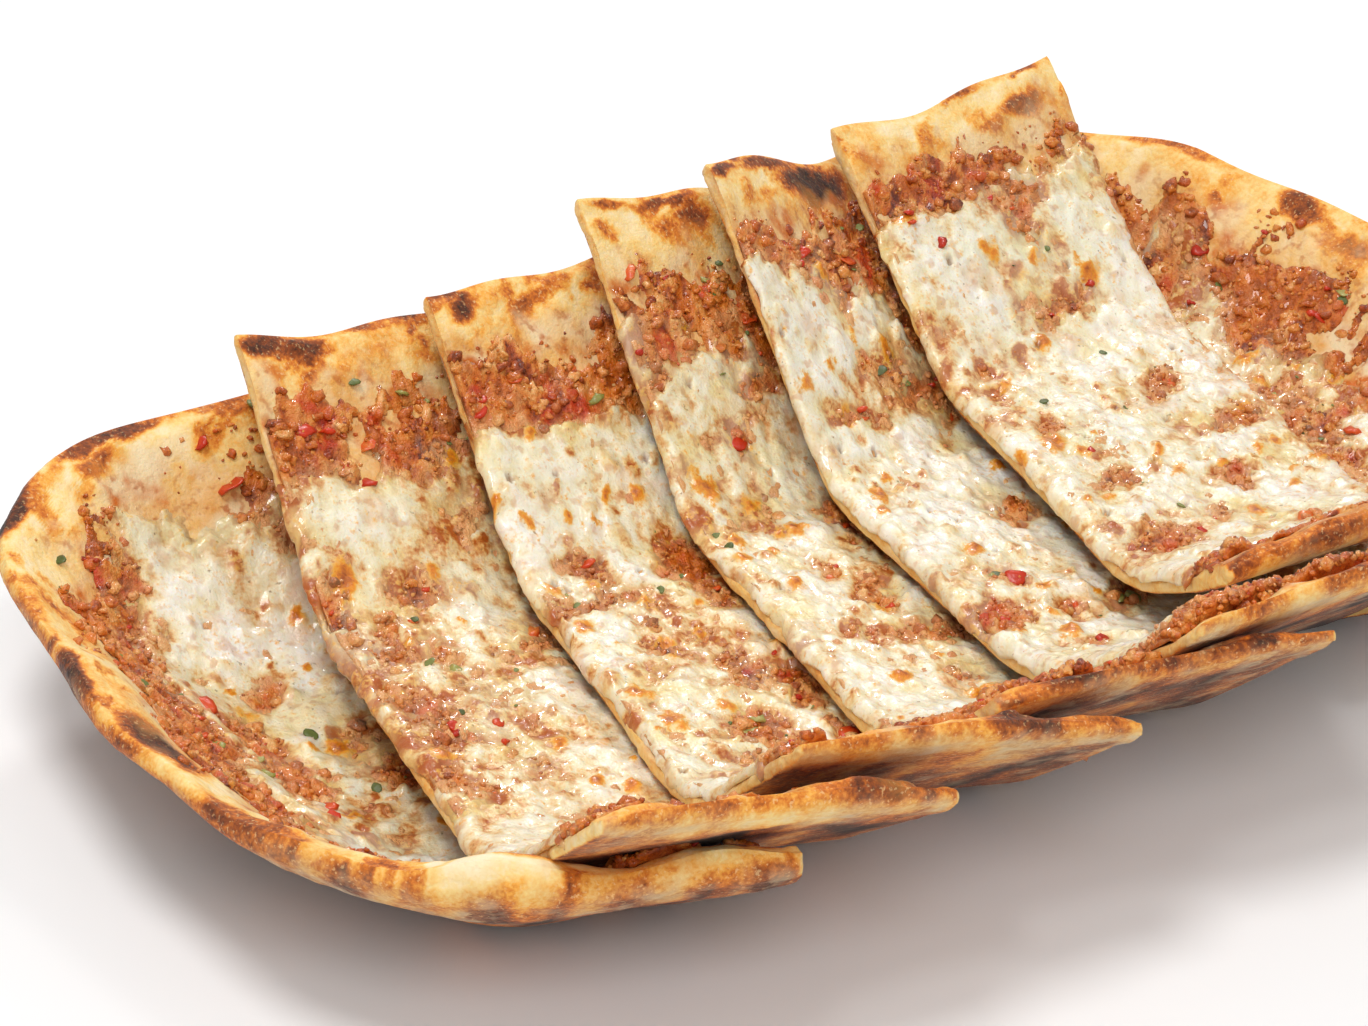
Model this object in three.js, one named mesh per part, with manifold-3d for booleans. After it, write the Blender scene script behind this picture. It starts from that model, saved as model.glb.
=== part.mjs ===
import * as THREE from 'three';
import Module from 'manifold-3d';

// Turkish pide: a flat boat-shaped bread topped with minced meat and melted
// cheese, cut across into five slices and two rounded ends, every slice laid
// partly over the one before it. Millimetres, +Z up, resting on z = 0.

const CENTRE_X = 7.39;
const CENTRE_Y = 7.17;

// Layers
const DOUGH_MIDDLE = 2.6;
const MEAT_DEPTH = 1.1;
const CHEESE_DEPTH = 1.3;
const LAYER_GAP = 0.3;
const TAPER_DEPTH = 0.5;
const EDGE_LIFT = 0.3;
const SLICE_EDGE_DRAW = 0.35;
const END_EDGE_DRAW = 0.06;
const MEAT_LUMPS = 0.15;
const CHEESE_LUMPS = 0.3;

// Crust
const CRUST_ROUNDING = 4.5;
const NEAR_CRUST_WIDTH = 19;
const NEAR_CRUST_BLEND = 12;
const FAR_CRUST_WIDTH = 16;
const FAR_CRUST_BLEND = 9;
const RIM_CRUST_WIDTH = 20;
const RIM_CRUST_BLEND = 12;
const PUFF_BLEND = 8;
const PUFF_WIDTH = 12;
const PINCHED_SHARE = 0.58;
const LEAST_EDGE_SHARE = 0.45;
const EDGE_WOBBLE = 1.0;
const WOBBLE_REACH = 25;

// How far in from an edge each topping starts
const MEAT_FROM_NEAR = 14;
const MEAT_FROM_FAR = 14;
const CHEESE_FROM_NEAR = 20;

// Crumbs of meat standing proud of the meat layer
const CRUMB_LEAST = 1.5;
const CRUMB_MOST = 2.7;
const CRUMB_SINK = 0.4;
const CRUMB_SIDES = 5;
const CRUMB_CROWN = 0.7;
const CRUMBS_PER_SLICE = 14;
const CRUMBS_PER_END = 24;
const TILT_BLEND = 60;

// Every slice: its four plan corners, lift of its right edge, how steeply it
// leans across at the near end, the middle and the far end, how far its left
// edge bows inwards, how each end bends up (slope, length, bending radius),
// then its crust depths.
const SLICES = [
  {
    name: 'slice_2', seed: 2,
    nearLeft: [-88, -107.5], nearRight: [-28.5, -104.5], farRight: [-25.5, 72], farLeft: [-82.8, 53],
    lift: 0, lean: [0.225, 0.237, 0.208], bow: 0,
    nearBend: [0.845, 60.5, 28], farBend: [0.76, 52, 14],
    nearCrust: 6.2, farCrust: 4.8, cheeseFromFar: 28,
  },
  {
    name: 'slice_3', seed: 3,
    nearLeft: [-52.5, -100], nearRight: [5.5, -100.5], farRight: [6.4, 73], farLeft: [-47, 58.5],
    lift: 0, lean: [0.20, 0.205, 0.20], bow: 2,
    nearBend: [0.90, 58.5, 28], farBend: [0.78, 52, 14],
    nearCrust: 5.6, farCrust: 4.5, cheeseFromFar: 27,
  },
  {
    name: 'slice_4', seed: 4,
    nearLeft: [-15, -92], nearRight: [43.5, -95], farRight: [37.6, 81.5], farLeft: [-15.2, 64.8],
    lift: 0, lean: [0, 0.185, 0.31], bow: 3,
    nearBend: [0.98, 59.5, 28], farBend: [0.81, 52, 14],
    nearCrust: 4.8, farCrust: 4.2, cheeseFromFar: 25.5,
  },
  {
    name: 'slice_5', seed: 5,
    nearLeft: [18.5, -93.5], nearRight: [78.5, -89], farRight: [60, 100], farLeft: [10.6, 66.5],
    lift: 0, lean: [0, 0.21, 0.38], bow: 1.5,
    nearBend: [0.99, 64.5, 28], farBend: [0.65, 56, 14],
    nearCrust: 5.6, farCrust: 4.5, cheeseFromFar: 25.5,
  },
  {
    name: 'slice_6', seed: 6,
    nearLeft: [42, -66.5], nearRight: [102, -58.5], farRight: [105.9, 112.5], farLeft: [45.2, 84.5],
    lift: 6.3, lean: [0.03, 0.14, 0.16], bow: 3.5,
    nearBend: [0.73, 56, 28], farBend: [0.61, 56, 14],
    nearCrust: 6.6, farCrust: 4.5, cheeseFromFar: 25,
  },
];

// The rounded ends: where the cut stands, reach to the tip and to the far and
// near rims, how square the far and near corners are, how the rim bends up.
// The nose is a pointed swelling of the plan and each puff a swelling of the
// crust: direction (radians from the tip, far side positive), width, amount.
const ENDS = [
  {
    name: 'left_end', seed: 1,
    cut: [-56, -17], slant: -5.6, reach: -78, farReach: 78, nearReach: 80.5,
    farSquare: 2.8, nearSquare: 2.5, bend: [48, 20],
    tipRise: 29, farRise: 31, nearRise: 28, rimCrust: 6.5,
    nose: [0.62, 0.17, 0.05], puffs: [[-0.99, 0.15, 7], [-1.43, 0.12, 2.5], [1.02, 0.16, 3]],
  },
  {
    name: 'right_end', seed: 7,
    cut: [80, 18], slant: 0, reach: 69, farReach: 104, nearReach: 78,
    farSquare: 1.7, nearSquare: 2.0, bend: [40, 20],
    tipRise: 22, farRise: 22, nearRise: 21, rimCrust: 6.0,
    nose: [0, 1, 0], puffs: [],
  },
];

const wasm = await Module();
wasm.setup();

// Share of the way from 0 to 1, eased at both ends
function ease(t) {
  const s = Math.min(Math.max(t, 0), 1);
  return s * s * (3 - 2 * s);
}

// Height gained past the start of a bend: curved for one radius, then straight
function bendUp(t, radius) {
  if (t <= 0) return 0;
  return t < radius ? (t * t) / (2 * radius) : t - radius / 2;
}

function mix(a, b, t) {
  return a + (b - a) * t;
}

// Height of a smooth swelling of a given middle, width and amount
function swelling(phase, [middle, width, amount]) {
  return amount * Math.exp(-(((phase - middle) / width) ** 2));
}

function seededRandom(seed) {
  let state = seed * 2654435761 % 4294967296;
  return () => {
    state = (state * 1664525 + 1013904223) % 4294967296;
    return state / 4294967296;
  };
}

function wobble(t, seed) {
  return EDGE_WOBBLE * (Math.sin(5.1 * t + 1.7 * seed) + 0.6 * Math.sin(11.3 * t + 2.9 * seed));
}

// Small lumps in the cheese and meat surfaces
function lumps(u, v, seed) {
  return Math.sin(9 * u + 13 * v + seed) * 0.5 + Math.sin(17 * u - 23 * v + 2 * seed) * 0.5;
}

// Rounds off a crust toward its outer edge
function roundedShare(e) {
  const s = 1 - Math.min(Math.max(e / CRUST_ROUNDING, 0), 1);
  return Math.max(Math.sqrt(1 - s * s), LEAST_EDGE_SHARE);
}

// ---- Slices: u runs left to right across the cut, q runs from near to far

function sliceLength(piece) {
  const x = piece.farLeft[0] + piece.farRight[0] - piece.nearLeft[0] - piece.nearRight[0];
  const y = piece.farLeft[1] + piece.farRight[1] - piece.nearLeft[1] - piece.nearRight[1];
  return Math.hypot(x, y) / 2;
}

function sliceWobble(piece, u, q) {
  const far = sliceLength(piece) - q;
  const near = wobble(u, piece.seed) * ease((WOBBLE_REACH - q) / WOBBLE_REACH);
  return wobble(u, piece.seed + 3) * ease((WOBBLE_REACH - far) / WOBBLE_REACH) - near;
}

function slicePlan(piece, u, q) {
  const v = (q + sliceWobble(piece, u, q)) / sliceLength(piece);
  const [x, y] = [0, 1].map((k) => mix(
    mix(piece.nearLeft[k], piece.nearRight[k], u),
    mix(piece.farLeft[k], piece.farRight[k], u),
    v,
  ));
  return [x + piece.bow * (1 - u) * Math.sin(Math.PI * Math.min(Math.max(v, 0), 1)), y];
}

function sliceUnder(piece, u, q) {
  const length = sliceLength(piece);
  const s = q + sliceWobble(piece, u, q);
  const [nearSlope, nearLength, nearRadius] = piece.nearBend;
  const [farSlope, farLength, farRadius] = piece.farBend;
  const [nearLean, midLean, farLean] = piece.lean;
  const width = piece.nearRight[0] - piece.nearLeft[0];
  const lean = midLean + (nearLean - midLean) * ease((TILT_BLEND - s) / TILT_BLEND)
    + (farLean - midLean) * ease((s - length + TILT_BLEND) / TILT_BLEND);
  return nearSlope * bendUp(nearLength - s, nearRadius)
    + farSlope * bendUp(s - length + farLength, farRadius)
    + piece.lift + lean * (1 - u) * width;
}

function sliceDough(piece, u, q) {
  const far = sliceLength(piece) - q;
  const puff = PINCHED_SHARE + (1 - PINCHED_SHARE) * Math.sin(Math.PI * Math.min(Math.max(u, 0), 1)) ** 0.8;
  const near = (piece.nearCrust * puff - DOUGH_MIDDLE) * ease((NEAR_CRUST_WIDTH - q) / NEAR_CRUST_BLEND);
  const away = (piece.farCrust - DOUGH_MIDDLE) * ease((FAR_CRUST_WIDTH - far) / FAR_CRUST_BLEND);
  return (DOUGH_MIDDLE + near + away) * roundedShare(Math.min(q, far));
}

function sliceShape(piece) {
  return {
    plan: (u, q) => slicePlan(piece, u, q),
    under: (u, q) => sliceUnder(piece, u, q),
    dough: (u, q) => sliceDough(piece, u, q),
  };
}

// ---- Rounded ends: u runs from the cut to the tip, v from near to far

function endRing(piece, u, v) {
  const x = u * Math.sqrt(1 - v * v / 2);
  const y = v * Math.sqrt(1 - u * u / 2);
  const turn = Math.atan2(Math.abs(y), x);
  const power = y > 0 ? piece.farSquare : piece.nearSquare;
  const corner = (Math.cos(turn) ** power + Math.sin(turn) ** power + 1e-12) ** (-1 / power);
  const side = y > 0 ? piece.farReach : piece.nearReach;
  const phase = Math.sign(y) * turn;
  const ragged = 0.010 * Math.sin(7 * phase + piece.seed) + 0.007 * Math.sin(13 * phase + 2 * piece.seed);
  const grown = corner * (1 + ragged + swelling(phase, piece.nose));
  return { x, y, turn, corner: grown, side, phase, ring: Math.hypot(x, y) };
}

function endPlan(piece, u, v) {
  const { x, y, corner, side } = endRing(piece, u, v);
  return [
    piece.cut[0] + (piece.slant * y + piece.reach * x) * corner,
    piece.cut[1] + side * y * corner,
  ];
}

function endFromRim(piece, u, v) {
  const { turn, corner, side, ring } = endRing(piece, u, v);
  const reach = Math.hypot(Math.abs(piece.reach) * Math.cos(turn), side * Math.sin(turn)) * corner;
  return (1 - ring) * reach;
}

function endUnder(piece, u, v) {
  const { y, turn } = endRing(piece, u, v);
  const [length, radius] = piece.bend;
  const rise = mix(piece.tipRise, y > 0 ? piece.farRise : piece.nearRise, ease(turn / (Math.PI / 2)));
  return rise * bendUp(length - endFromRim(piece, u, v), radius) / (length - radius / 2);
}

function endDough(piece, u, v) {
  const { phase } = endRing(piece, u, v);
  const fromRim = endFromRim(piece, u, v);
  const puff = 1 + 0.16 * Math.sin(9 * phase + piece.seed) + 0.08 * Math.sin(17 * phase);
  const share = ease((RIM_CRUST_WIDTH - fromRim) / RIM_CRUST_BLEND);
  const crust = (piece.rimCrust * puff - DOUGH_MIDDLE) * share;
  const puffs = piece.puffs.reduce((sum, one) => sum + swelling(phase, one), 0);
  const roll = puffs * ease((PUFF_WIDTH - fromRim) / PUFF_BLEND);
  return (DOUGH_MIDDLE + crust + roll) * roundedShare(fromRim);
}

function endShape(piece) {
  return {
    plan: (u, v) => endPlan(piece, u, v),
    under: (u, v) => endUnder(piece, u, v),
    dough: (u, v) => endDough(piece, u, v),
  };
}

// ---- Solids

// Closed sheet between a lower and an upper height over a grid of plan points;
// mirrored grids turn their faces over so that they always look outward.
function sheet(columns, rows, point, mirrored) {
  const positions = [];
  const index = [];
  const nu = columns.length;
  const nv = rows.length;
  for (const level of [0, 1]) {
    for (let j = 0; j < nv; j += 1) {
      for (let i = 0; i < nu; i += 1) positions.push(...point(i, j, level));
    }
  }
  const at = (i, j, level) => level * nu * nv + j * nu + i;
  const quad = (a, b, c, d) => {
    if (mirrored) index.push(a, c, b, a, d, c);
    else index.push(a, b, c, a, c, d);
  };
  for (let j = 0; j + 1 < nv; j += 1) {
    for (let i = 0; i + 1 < nu; i += 1) {
      quad(at(i, j, 1), at(i + 1, j, 1), at(i + 1, j + 1, 1), at(i, j + 1, 1));
      const flip = [at(i, j, 0), at(i + 1, j, 0), at(i + 1, j + 1, 0), at(i, j + 1, 0)];
      if (mirrored) index.push(flip[0], flip[1], flip[2], flip[0], flip[2], flip[3]);
      else index.push(flip[0], flip[2], flip[1], flip[0], flip[3], flip[2]);
    }
  }
  for (let i = 0; i + 1 < nu; i += 1) {
    quad(at(i, 0, 0), at(i + 1, 0, 0), at(i + 1, 0, 1), at(i, 0, 1));
    quad(at(i + 1, nv - 1, 0), at(i, nv - 1, 0), at(i, nv - 1, 1), at(i + 1, nv - 1, 1));
  }
  for (let j = 0; j + 1 < nv; j += 1) {
    quad(at(0, j + 1, 0), at(0, j, 0), at(0, j, 1), at(0, j + 1, 1));
    quad(at(nu - 1, j, 0), at(nu - 1, j + 1, 0), at(nu - 1, j + 1, 1), at(nu - 1, j, 1));
  }
  return { positions, index };
}

function toManifold({ positions, index }) {
  return new wasm.Manifold(new wasm.Mesh({
    numProp: 3,
    vertProperties: new Float32Array(positions),
    triVerts: new Uint32Array(index),
  }));
}

function toGeometry(solid) {
  const mesh = solid.getMesh();
  const geometry = new THREE.BufferGeometry();
  geometry.setAttribute('position', new THREE.BufferAttribute(new Float32Array(mesh.vertProperties), 3));
  geometry.setIndex(new THREE.BufferAttribute(new Uint32Array(mesh.triVerts), 1));
  geometry.computeVertexNormals();
  return geometry;
}

// Underside and top of one layer at a place, each layer a gap above the last
function layerHeights(shape, kind, u, w, seed) {
  const doughUnder = shape.under(u, w);
  const doughTop = doughUnder + shape.dough(u, w);
  if (kind === 'dough') return [doughUnder, doughTop];
  const meatUnder = doughTop + LAYER_GAP;
  const meatTop = meatUnder + MEAT_DEPTH + MEAT_LUMPS * lumps(u, w / 40, seed);
  if (kind === 'meat') return [meatUnder, meatTop];
  const cheeseUnder = meatTop + LAYER_GAP;
  return [cheeseUnder, cheeseUnder + CHEESE_DEPTH + CHEESE_LUMPS * lumps(1.7 * u, w / 25, seed + 5)];
}

// Sheet of one layer over part of the shared grid. The outermost rows of a
// topping are drawn in and thinned, so that its edges wander and taper off.
function layer(shape, columns, rows, range, kind, seed, mirrored) {
  const us = columns.slice(range.u[0], range.u[1] + 1);
  const ws = rows.slice(range.w[0], range.w[1] + 1);
  const node = (i, j) => {
    const [low, high] = layerHeights(shape, kind, us[i], ws[j], seed);
    return [...shape.plan(us[i], ws[j]), low, high];
  };
  const between = (a, b, t) => a.map((value, k) => mix(value, b[k], t));
  const drawnIn = (i, j) => {
    const row = j === 0 ? 1 : ws.length - 2;
    const share = range.drawn * (1 + 0.8 * Math.sin(21 * us[i] + 3 * seed + j));
    return between(node(i, j), node(i, row), share);
  };
  const point = (i, j, level) => {
    const edgeRow = range.openW && (j === 0 || j === ws.length - 1);
    const edgeColumn = range.openU && i === us.length - 1;
    const column = (k) => (edgeRow ? drawnIn(k, j) : node(k, j));
    const share = range.drawn * (1 + 0.8 * Math.sin(9 * ws[j] + 3 * seed));
    const [x, y, low, high] = edgeColumn ? between(column(i), column(i - 1), share) : column(i);
    const lower = edgeRow || edgeColumn ? low + EDGE_LIFT : low;
    const upper = edgeRow || edgeColumn ? lower + TAPER_DEPTH : high;
    return [x - CENTRE_X, y - CENTRE_Y, level ? upper : lower];
  };
  return sheet(us, ws, point, mirrored);
}

// Place on the flat-faced top of the meat, read off the cell it falls in
function onMeat(shape, columns, rows, seed, u, w) {
  const i = Math.min(Math.max(columns.findIndex((c) => c > u), 1), columns.length - 1);
  const j = Math.min(Math.max(rows.findIndex((c) => c > w), 1), rows.length - 1);
  const node = (c, r) => [...shape.plan(c, r), layerHeights(shape, 'meat', c, r, seed)[1]];
  const across = (u - columns[i - 1]) / (columns[i] - columns[i - 1]);
  const along = (w - rows[j - 1]) / (rows[j] - rows[j - 1]);
  const [low, high] = [rows[j - 1], rows[j]].map((r) => {
    const [a, b] = [node(columns[i - 1], r), node(columns[i], r)];
    return a.map((value, k) => mix(value, b[k], across));
  });
  return low.map((value, k) => mix(value, high[k], along));
}

// A crumb standing on the meat: a lumpy dome whose foot is sunk in the layer
function crumb(shape, columns, rows, u, w, size, random, seed) {
  const positions = [];
  const index = [];
  const place = (reach, turn, rise) => {
    const [x, y, z] = onMeat(
      shape, columns, rows, seed,
      u + reach * Math.cos(turn) / shape.acrossScale,
      w + reach * Math.sin(turn) / shape.alongScale,
    );
    positions.push(x - CENTRE_X, y - CENTRE_Y, z + rise);
  };
  const spin = random() * Math.PI;
  const sides = CRUMB_SIDES;
  const reaches = Array.from({ length: sides }, () => size * mix(0.85, 1.15, random()));
  const turns = reaches.map((reach, k) => shape.handed * (spin + 2 * Math.PI * k / sides));
  reaches.forEach((reach, k) => place(reach, turns[k], -CRUMB_SINK * MEAT_DEPTH));
  reaches.forEach((reach, k) => place(CRUMB_CROWN * reach, turns[k], 0.55 * size));
  place(0, 0, 0.8 * size);
  for (let k = 0; k < sides; k += 1) {
    const next = (k + 1) % sides;
    index.push(k, next, sides + next, k, sides + next, sides + k);
    index.push(sides + k, sides + next, 2 * sides);
    if (k > 0 && k + 1 < sides) index.push(0, k + 1, k);
  }
  return toManifold({ positions, index });
}

function material(color, roughness) {
  return new THREE.MeshStandardMaterial({ color, roughness, metalness: 0 });
}

const group = new THREE.Group();
group.name = 'turkish_pide';

function addPiece(name, solid, color, roughness) {
  const mesh = new THREE.Mesh(toGeometry(solid), material(color, roughness));
  mesh.name = name;
  group.add(mesh);
}

// Crumbs stay in the open bands between crust and cheese, clear of both
function scatter(base, shape, columns, rows, places, seed) {
  const random = seededRandom(seed);
  let solid = base;
  for (const [u, w] of places(random)) {
    const size = mix(CRUMB_LEAST, CRUMB_MOST, random());
    solid = solid.add(crumb(shape, columns, rows, u, w, size, random, seed));
  }
  return solid;
}

for (const piece of SLICES) {
  const length = sliceLength(piece);
  const shape = { ...sliceShape(piece), acrossScale: 58, alongScale: 1, handed: 1 };
  const columns = [0, 0.12, 0.36, 0.64, 0.88, 1];
  const rows = [
    0, 1.5, 4.5, MEAT_FROM_NEAR - 5, MEAT_FROM_NEAR, CHEESE_FROM_NEAR, 32, 41, 50, 60,
    length / 2, length - 58, length - 48, length - 41,
    length - piece.cheeseFromFar, length - 20, length - MEAT_FROM_FAR,
    length - 8, length - 4, length - 1.5, length,
  ];
  const last = rows.length - 1;
  const whole = { u: [0, columns.length - 1], w: [0, last] };
  const meat = { u: [0, columns.length - 1], w: [4, last - 4], openW: true, drawn: SLICE_EDGE_DRAW };
  const cheese = { u: [0, columns.length - 1], w: [5, last - 6], openW: true, drawn: SLICE_EDGE_DRAW };
  const bands = (random) => Array.from({ length: CRUMBS_PER_SLICE }, () => {
    const inner = length - piece.cheeseFromFar + CRUMB_MOST + 1;
    const outer = length - MEAT_FROM_FAR - 5;
    return [mix(0.07, 0.40, random()), mix(inner, outer, random())];
  });
  const dough = toManifold(layer(shape, columns, rows, whole, 'dough', piece.seed, false));
  const mince = toManifold(layer(shape, columns, rows, meat, 'meat', piece.seed, false));
  const melted = toManifold(layer(shape, columns, rows, cheese, 'cheese', piece.seed, false));
  addPiece(`dough_${piece.name}`, dough, 0xd9a55c, 0.75);
  addPiece(`meat_${piece.name}`, scatter(mince, shape, columns, rows, bands, piece.seed), 0xa8542c, 0.55);
  addPiece(`cheese_${piece.name}`, melted, 0xece0c0, 0.35);
}

for (const piece of ENDS) {
  const shape = { ...endShape(piece), acrossScale: 72, alongScale: 88, handed: Math.sign(piece.reach) };
  const columns = [0, 0.22, 0.42, 0.56, 0.68, 0.78, 0.86, 0.93, 0.975, 1];
  const half = [0.2, 0.38, 0.54, 0.66, 0.76, 0.85, 0.92, 0.97, 1];
  const rows = [...half.slice().reverse().map((v) => -v), 0, ...half];
  const last = rows.length - 1;
  const mirrored = piece.reach < 0;
  const whole = { u: [0, columns.length - 1], w: [0, last] };
  const meat = { u: [0, 6], w: [3, last - 3], openW: true, openU: true, drawn: END_EDGE_DRAW };
  const cheese = { u: [0, 3], w: [5, last - 5], openW: true, openU: true, drawn: END_EDGE_DRAW };
  const rim = (random) => Array.from({ length: CRUMBS_PER_END }, (_, k) => {
    if (k % 3) return [mix(0.62, 0.78, random()), mix(-0.6, 0.6, random())];
    return [mix(0.3, 0.6, random()), (k % 2 ? 1 : -1) * mix(0.70, 0.79, random())];
  });
  const dough = toManifold(layer(shape, columns, rows, whole, 'dough', piece.seed, mirrored));
  const mince = toManifold(layer(shape, columns, rows, meat, 'meat', piece.seed, mirrored));
  const melted = toManifold(layer(shape, columns, rows, cheese, 'cheese', piece.seed, mirrored));
  addPiece(`dough_${piece.name}`, dough, 0xd9a55c, 0.75);
  addPiece(`meat_${piece.name}`, scatter(mince, shape, columns, rows, rim, piece.seed), 0xa8542c, 0.55);
  addPiece(`cheese_${piece.name}`, melted, 0xece0c0, 0.35);
}

export default group;
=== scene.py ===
import math
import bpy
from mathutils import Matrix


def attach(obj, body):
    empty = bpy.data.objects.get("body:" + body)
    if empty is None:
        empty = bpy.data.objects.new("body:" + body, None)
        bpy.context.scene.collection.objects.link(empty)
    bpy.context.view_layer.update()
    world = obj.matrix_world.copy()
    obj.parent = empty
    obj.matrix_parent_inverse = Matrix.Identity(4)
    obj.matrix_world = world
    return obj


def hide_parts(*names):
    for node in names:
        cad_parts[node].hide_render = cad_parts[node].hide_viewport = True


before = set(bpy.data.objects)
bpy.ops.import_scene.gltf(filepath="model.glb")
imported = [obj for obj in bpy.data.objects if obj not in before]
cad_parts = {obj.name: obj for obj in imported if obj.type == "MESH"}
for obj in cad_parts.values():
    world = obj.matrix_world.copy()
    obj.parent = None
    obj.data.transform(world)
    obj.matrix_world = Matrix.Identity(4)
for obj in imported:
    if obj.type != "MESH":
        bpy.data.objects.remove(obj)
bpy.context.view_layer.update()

from types import SimpleNamespace
import bpy
import numpy as np
from mathutils import Matrix, Vector

# Turkish pide: five overlapping slices between two rounded ends.
# Sizes below are millimetres and turn into metres where a mesh is made.
mm = 0.001
centre = (7.39, 7.17)        # plan middle of the whole arrangement
sliceWidth = 58.0


def ease(t):
    s = np.clip(t, 0, 1)
    return s * s * (3 - 2 * s)


def mix(a, b, t):
    return a + (b - a) * t


def bendUp(t, radius):
    curved = t * t / (2 * radius)
    return np.where(t <= 0, 0, np.where(t < radius, curved, t - radius / 2))


def swelling(phase, look):   # a smooth bump: middle, width, amount
    middle, width, amount = look
    return amount * np.exp(-((phase - middle) / width) ** 2)


def lottery(ix, iy, seed):   # the same random number every time for a whole-number place
    h = (ix * 374761393 + iy * 668265263 + seed * 2246822519) & 0xffffffff
    h = ((h ^ (h >> 13)) * 1274126177) & 0xffffffff
    return ((h ^ (h >> 16)) & 0xffff) / 65535.0


def lumpy(x, y, size, seed):   # smooth noise from -1 to 1
    x, y = x / size, y / size
    ix, iy = np.floor(x).astype(np.int64), np.floor(y).astype(np.int64)
    fx, fy = x - ix, y - iy
    sx, sy = (f * f * f * (f * (f * 6 - 15) + 10) for f in (fx, fy))
    low = mix(lottery(ix, iy, seed), lottery(ix + 1, iy, seed), sx)
    high = mix(lottery(ix, iy + 1, seed), lottery(ix + 1, iy + 1, seed), sx)
    return 2 * mix(low, high, sy) - 1


def rough(x, y, size, seed, steps=3):   # noise with finer noise on it, about -1 to 1
    total, amount, most = 0.0, 1.0, 0.0
    for k in range(steps):
        turn = 0.7 + 1.3 * k
        total = total + amount * lumpy(
            x * math.cos(turn) - y * math.sin(turn) + 311 * k,
            x * math.sin(turn) + y * math.cos(turn) - 173 * k, size, seed + 17 * k)
        most += amount
        amount *= 0.55
        size *= 0.5
    return 1.5 * total / most


def grains(x, y, size, seed):   # distance to the nearest scattered point, and its number
    gx, gy = x / size, y / size
    ix, iy = np.floor(gx).astype(np.int64), np.floor(gy).astype(np.int64)
    nearest = np.full(gx.shape, 9.0)
    tone = np.zeros(gx.shape)
    for dx in (-1, 0, 1):
        for dy in (-1, 0, 1):
            cx, cy = ix + dx, iy + dy
            px = cx + 0.5 + 0.8 * (lottery(cx, cy, seed) - 0.5)
            py = cy + 0.5 + 0.8 * (lottery(cx, cy, seed + 1) - 0.5)
            away = np.hypot(gx - px, gy - py)
            closer = away < nearest
            tone = np.where(closer, lottery(cx, cy, seed + 2), tone)
            nearest = np.where(closer, away, nearest)
    return nearest * size, tone


def dome(away, radius):
    return np.sqrt(np.clip(1 - (away / radius) ** 2, 0, 1))


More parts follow.
